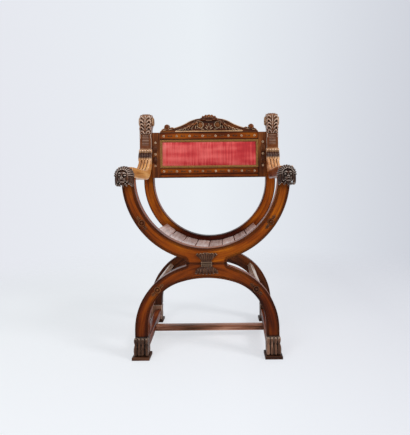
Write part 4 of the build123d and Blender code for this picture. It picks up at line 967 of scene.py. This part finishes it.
def volute_rosettes():
    """The bosses on both sides of each volute: a round button, a ring of petals, and a round rim."""
    def height(t, a):
        if t < 0.28:
            return 9.6 * sqrt(max(0.0, 1 - (t / 0.3) ** 2))
        if t < 0.78:
            return 5.0 + 2.6 * abs(cos(4 * a)) * sin(pi * (t - 0.28) / 0.5)
        return 7.0 * sqrt(max(0.0, 1 - ((t - 0.89) / 0.11) ** 2))

    points, turns = [], []
    for side in (-1, 1):
        for x, way in ((ARM_X - 28, -1), (ARM_X + 28, 1)):
            points.append((side * x, VOLUTE_Y, VOLUTE_Z))
            turns.append((0, 0, radians(90 * side * way)))
    rings = (1, 2.5, 4, 5.5, 7, 9, 11, 13, 15, 16.5, 18, 19.5, 21, 22)
    boss = polar_shape("boss", rings, 48, height)
    mesh = grown(on_seats, seats(points, turns), boss, walnut_carved, Size=1.0, Unevenness=0.0, Seed=1)
    present("volute_flowers", mesh, (), "volute_bosses")


rail_rosettes()
panel_leaves()
volute_rosettes()


# ---------------- velvet, braid and screws
def ribbed_velvet():
    """Cotton velvet with fine cut ribs, stretched over a pad: a soft red, lighter where the pile turns.

    The real ribs are about 2 mm apart, and are drawn 5 mm apart so that they show.
    """
    made, tree, shader = material("ribbed_velvet", Sheen_Weight=0.3, Sheen_Roughness=0.35,
                                  Sheen_Tint=colour("#FFC0B4"), Roughness=0.85, IOR=1.45)
    place = spot(tree)
    rib = add(
        tree, "ShaderNodeTexWave", {"bands_direction": "X", "wave_profile": "SIN"},
        Vector=add(tree, "ShaderNodeMapping", Vector=place, Scale=per(15.7, 900, 900)),
        Scale=1.0, Distortion=0.6, Detail=2.0, Detail_Scale=1.5,
    ).outputs["Fac"]
    # streaks of turned pile, broad clouds of painted light and shade, and the painted shade of soft folds
    # that lie across
    streak, cloud, fold = (
        add(tree, "ShaderNodeTexNoise", Scale=1.0, Detail=fine, Vector=add(
            tree, "ShaderNodeMapping", Vector=place, Location=shift, Scale=per(*sizes)))
        for fine, sizes, shift in (
            (4.0, (7, 30, 160), (0, 0, 0)),
            (3.0, (150, 60, 60), (0, 0, 0)),
            (0.0, (130, 60, 22), (0.4, 0, 0.3)),
        )
    )
    tone = streak
    for share, other in ((0.5, cloud), (0.22, rib), (0.22, fold)):
        tone = add(tree, "ShaderNodeMix", FLOAT, Factor=share, A=tone, B=other)
    # painted light: the pad lighter to the left and darker to the right
    across = add(tree, "ShaderNodeSeparateXYZ", Vector=place).outputs["X"]
    lean = add(tree, "ShaderNodeMapRange", Value=across, From_Min=-230.0, From_Max=230.0, To_Min=0.035,
               To_Max=-0.035)
    tone = add(tree, "ShaderNodeMath", "ADD", s0=tone, s1=lean)
    reds = (0.36, "#A01826"), (0.5, "#DC3A3C"), (0.62, "#F6807A")
    pile = add(tree, "ShaderNodeValToRGB", reds, Fac=tone)
    dent = add(tree, "ShaderNodeBump", Height=rib, Strength=0.5, Distance=0.0006)
    dress(tree, shader, Base_Color=pile, Normal=dent)
    return made


def gimp_thread():
    """Gimp braid of dulled gold thread: an olive brown that catches light on its loops."""
    made, tree, shader = material("gimp_braid", Roughness=0.55, Sheen_Weight=0.2, Metallic=0.25)
    place = add(tree, "ShaderNodeMapping", Vector=spot(tree), Scale=per(1.2, 1.2, 1.2))
    twist = add(tree, "ShaderNodeTexNoise", Vector=place, Scale=1.0, Detail=2.0)
    golds = (0.3, "#523408"), (0.52, "#946420"), (0.7, "#C49648")
    thread = add(tree, "ShaderNodeValToRGB", golds, Fac=twist)
    dent = add(tree, "ShaderNodeBump", Height=twist, Strength=0.6, Distance=0.0005)
    dress(tree, shader, Base_Color=thread, Normal=dent)
    return made


def aged_steel():
    """Steel wood screws, aged: dark brown-grey with brighter rubbed spots."""
    made, tree, shader = material("aged_steel", Metallic=1.0)
    place = add(tree, "ShaderNodeMapping", Vector=spot(tree), Scale=per(2, 2, 2))
    rust = add(tree, "ShaderNodeTexNoise", Vector=place, Scale=1.0, Detail=4.0)
    steels = (0.35, "#3B2A20"), (0.55, "#6E6760"), (0.75, "#8F8A82")
    skin = add(tree, "ShaderNodeValToRGB", steels, Fac=rust)
    dull = add(tree, "ShaderNodeMapRange", Value=rust, From_Min=0.3, From_Max=0.7, To_Min=0.65, To_Max=0.35)
    dent = add(tree, "ShaderNodeBump", Height=rust, Strength=0.2, Distance=0.0003)
    dress(tree, shader, Base_Color=skin, Roughness=dull, Normal=dent)
    return made


velvet = ribbed_velvet()
braid = gimp_thread()
steel = aged_steel()


def swollen(mesh, tacked, most):
    """A mesh swelled like cloth under pressure. Points deeper than tacked stay, and none moves past most."""
    host = new_object("host", mesh)
    pinned = host.vertex_groups.new(name="tacked")
    pinned.add([v.index for v in mesh.vertices if v.co.y > tacked], 1.0, "REPLACE")
    cloth = host.modifiers.new("swell", "CLOTH")
    cloth.settings.vertex_group_mass = "tacked"
    cloth.settings.use_pressure = True
    cloth.settings.uniform_pressure_force = 4.0
    cloth.settings.effector_weights.gravity = 0.0
    cloth.settings.quality = 6
    scene = bpy.context.scene
    for step in range(1, 21):
        scene.frame_set(step)
    full = settled(host)
    for vertex, calm in zip(full.vertices, mesh.vertices):
        move = vertex.co - calm.co
        if move.length > most:
            vertex.co = calm.co + move.normalized() * most
    discard(host)
    scene.frame_set(1)
    return full


def velvet_pad():
    """The stuffed back pad: the velvet swells a few millimetres between its braided edges."""
    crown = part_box("velvet_pad")[0][1]
    mesh = worked(mesh_from(solid_of("velvet_pad"), "pad"), melting(5))
    # the front starts a little lower, so that it swells to its full height and no further
    front_depth, tacked_depth, sink, swell = 0.012, 0.011, 0.0035, 0.005
    for vertex in mesh.vertices:
        if vertex.co.y < crown + front_depth:
            vertex.co.y += sink
    mesh = swollen(mesh, crown + tacked_depth, swell)
    mesh.polygons.foreach_set("use_smooth", [True] * len(mesh.polygons))
    mesh = worked(mesh, ("SUBSURF", {"levels": 1, "render_levels": 1}))
    pad = present("velvet_back_pad", mesh, (velvet,), "velvet_pad")


def gimp_edge():
    """The braid round the pad: a flat tape with a scalloped loop along each edge."""
    low, high = [[c / MM for c in corner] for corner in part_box("gimp_braid")]
    middle, depth = 5.2, 1.6      # from the tape's outer edge and from its face to the loops' middle
    x_low, x_high, z_low, z_high = low[0] + middle, high[0] - middle, low[2] + middle, high[2] - middle
    corners = [(x_low, z_low), (x_high, z_low), (x_high, z_high), (x_low, z_high)]
    run = bpy.data.meshes.new("run")
    run.from_pydata([(x * MM, (low[1] + depth) * MM, z * MM) for x, z in corners],
                    [(0, 1), (1, 2), (2, 3), (3, 0)], [])
    loop = bmesh.new()
    for way in (-1, 1):
        ring = [(way * 2.6 + 2.1 * cos(a), 0.5 * sin(3 * a), 2.6 * sin(a))
                for a in round_steps(10, closed=True)]
        roll(loop, ring, 1.5, 1.5, sides=6, steps=1)
    roll(loop, [(-1.2, -0.6, -3.2), (0, -1.2, 0), (1.2, -0.6, 3.2)], [1.4, 2.4, 1.4], [1.4, 2.0, 1.4],
         sides=6, steps=3)
    bmesh.ops.recalc_face_normals(loop, faces=loop.faces)
    bmesh.ops.scale(loop, vec=(MM, MM, MM), verts=loop.verts)
    for face in loop.faces:
        face.smooth = True
    mesh = grown(along_run, run, mesh_from(loop, "loop"), braid, Pitch=6.4 * MM)
    present("gimp_loops", mesh, ())
    eased("gimp_braid", braid, 0.8, edge=braid)


def post_screws():
    """The slotted screws that hold the posts, seen at the back."""
    cutter = bmesh.new()
    for side in (-1, 1):
        place = Matrix.Translation((side * SCREW_X * MM, REAR_BACK_Y * MM, SCREW_Z * MM))
        turn = Matrix.Rotation(radians(25 + 40 * side), 4, "Y")
        size = Matrix.Diagonal((0.02, 0.0024, 0.0014, 1))
        bmesh.ops.create_cube(cutter, size=1.0, matrix=place @ turn @ size)
    blade = new_object("blade", mesh_from(cutter, "slots"))
    shanks = mesh_from(solid_of("post_screws"), "screws")
    mesh = worked(shanks, ("BOOLEAN", {"object": blade, "solver": "EXACT"}))
    discard(blade)
    present("slotted_screws", mesh, (steel,), "post_screws")


velvet_pad()
gimp_edge()
post_screws()


# ---------------- studio
def floor():
    """A pale floor that keeps the chair's shadow and fades into the surround."""
    mesh = bpy.data.meshes.new("studio_floor")
    mesh.from_pydata([(-6, -6, 0), (6, -6, 0), (6, 6, 0), (-6, 6, 0)], [], [(0, 1, 2, 3)])
    made, tree, shader = material("studio_floor", Base_Color=colour("#F6F8FC"), Roughness=0.9)
    place = add(tree, "ShaderNodeTexCoord").outputs["Object"]
    away = add(tree, "ShaderNodeVectorMath", "LENGTH", Vector=place).outputs["Value"]
    across = add(tree, "ShaderNodeSeparateXYZ", Vector=place).outputs["X"]
    # painted light: the floor glows for the camera, a little darker towards the right
    aside = add(tree, "ShaderNodeMapRange", Value=across, From_Min=-0.9, From_Max=0.9)
    shades = (0.0, "#F8FCFF"), (0.55, "#F6FAFF"), (1.0, "#DCDEE6")
    pale = add(tree, "ShaderNodeValToRGB", shades, Fac=aside)
    glow = add(tree, "ShaderNodeEmission", Color=pale, Strength=1.06)
    rays = add(tree, "ShaderNodeLightPath")
    share = add(tree, "ShaderNodeMath", "MULTIPLY", s0=rays.outputs["Is Camera Ray"], s1=0.55)
    lifted = add(tree, "ShaderNodeMixShader", s0=share, s1=shader, s2=glow)
    fade = add(tree, "ShaderNodeMapRange", {"interpolation_type": "SMOOTHSTEP"}, Value=away, From_Min=0.8,
               From_Max=3.0)
    clear = add(tree, "ShaderNodeBsdfTransparent")
    mixed = add(tree, "ShaderNodeMixShader", s0=fade, s1=lifted, s2=clear)
    dress(tree, tree.nodes["Material Output"], Surface=mixed)
    mesh.materials.append(made)
    new_object("studio_floor", mesh)


def surround():
    """A pale surround, a touch darker to the right, that lights the chair at less than half its own level."""
    world = bpy.data.worlds.new("studio")
    world.use_nodes = True
    tree = world.node_tree
    way = add(tree, "ShaderNodeTexCoord").outputs["Generated"]
    across = add(tree, "ShaderNodeSeparateXYZ", Vector=way).outputs["X"]
    aside = add(tree, "ShaderNodeMapRange", Value=across, From_Min=-0.5, From_Max=0.5)
    shades = (0.0, "#E6E8EF"), (0.45, "#EAEFF4"), (0.7, "#DFE3EA"), (1.0, "#CBCED7")
    sky = add(tree, "ShaderNodeValToRGB", shades, Fac=aside)
    seen = tree.nodes["Background"]
    dress(tree, seen, Color=sky, Strength=1.0)
    lit = add(tree, "ShaderNodeBackground", Color=colour("#F4F6FA"), Strength=0.46)
    rays = add(tree, "ShaderNodeLightPath").outputs
    direct = rays["Is Camera Ray"]
    for mirrored in ("Is Glossy Ray", "Is Transmission Ray"):
        direct = add(tree, "ShaderNodeMath", "MAXIMUM", s0=direct, s1=rays[mirrored])
    mixed = add(tree, "ShaderNodeMixShader", s0=direct, s1=lit, s2=seen)
    dress(tree, tree.nodes["World Output"], Surface=mixed)
    bpy.context.scene.world = world


def lamps():
    """A soft window light from the right and a soft fill from the left."""
    aim = Vector((0, 0, 0.5))
    for name, place, size, power in (
        ("window", (4.3, -2.6, 3.2), 1.5, 140.0), ("fill", (-1.3, -2.4, 2.3), 1.2, 27.0),
    ):
        lamp = bpy.data.lights.new(name, "AREA")
        lamp.size = size
        lamp.energy = power
        holder = new_object(name, lamp)
        holder.location = place
        holder.rotation_euler = (aim - Vector(place)).to_track_quat("-Z", "Y").to_euler()


floor()
surround()
lamps()
bpy.context.scene.view_settings.view_transform = "Standard"
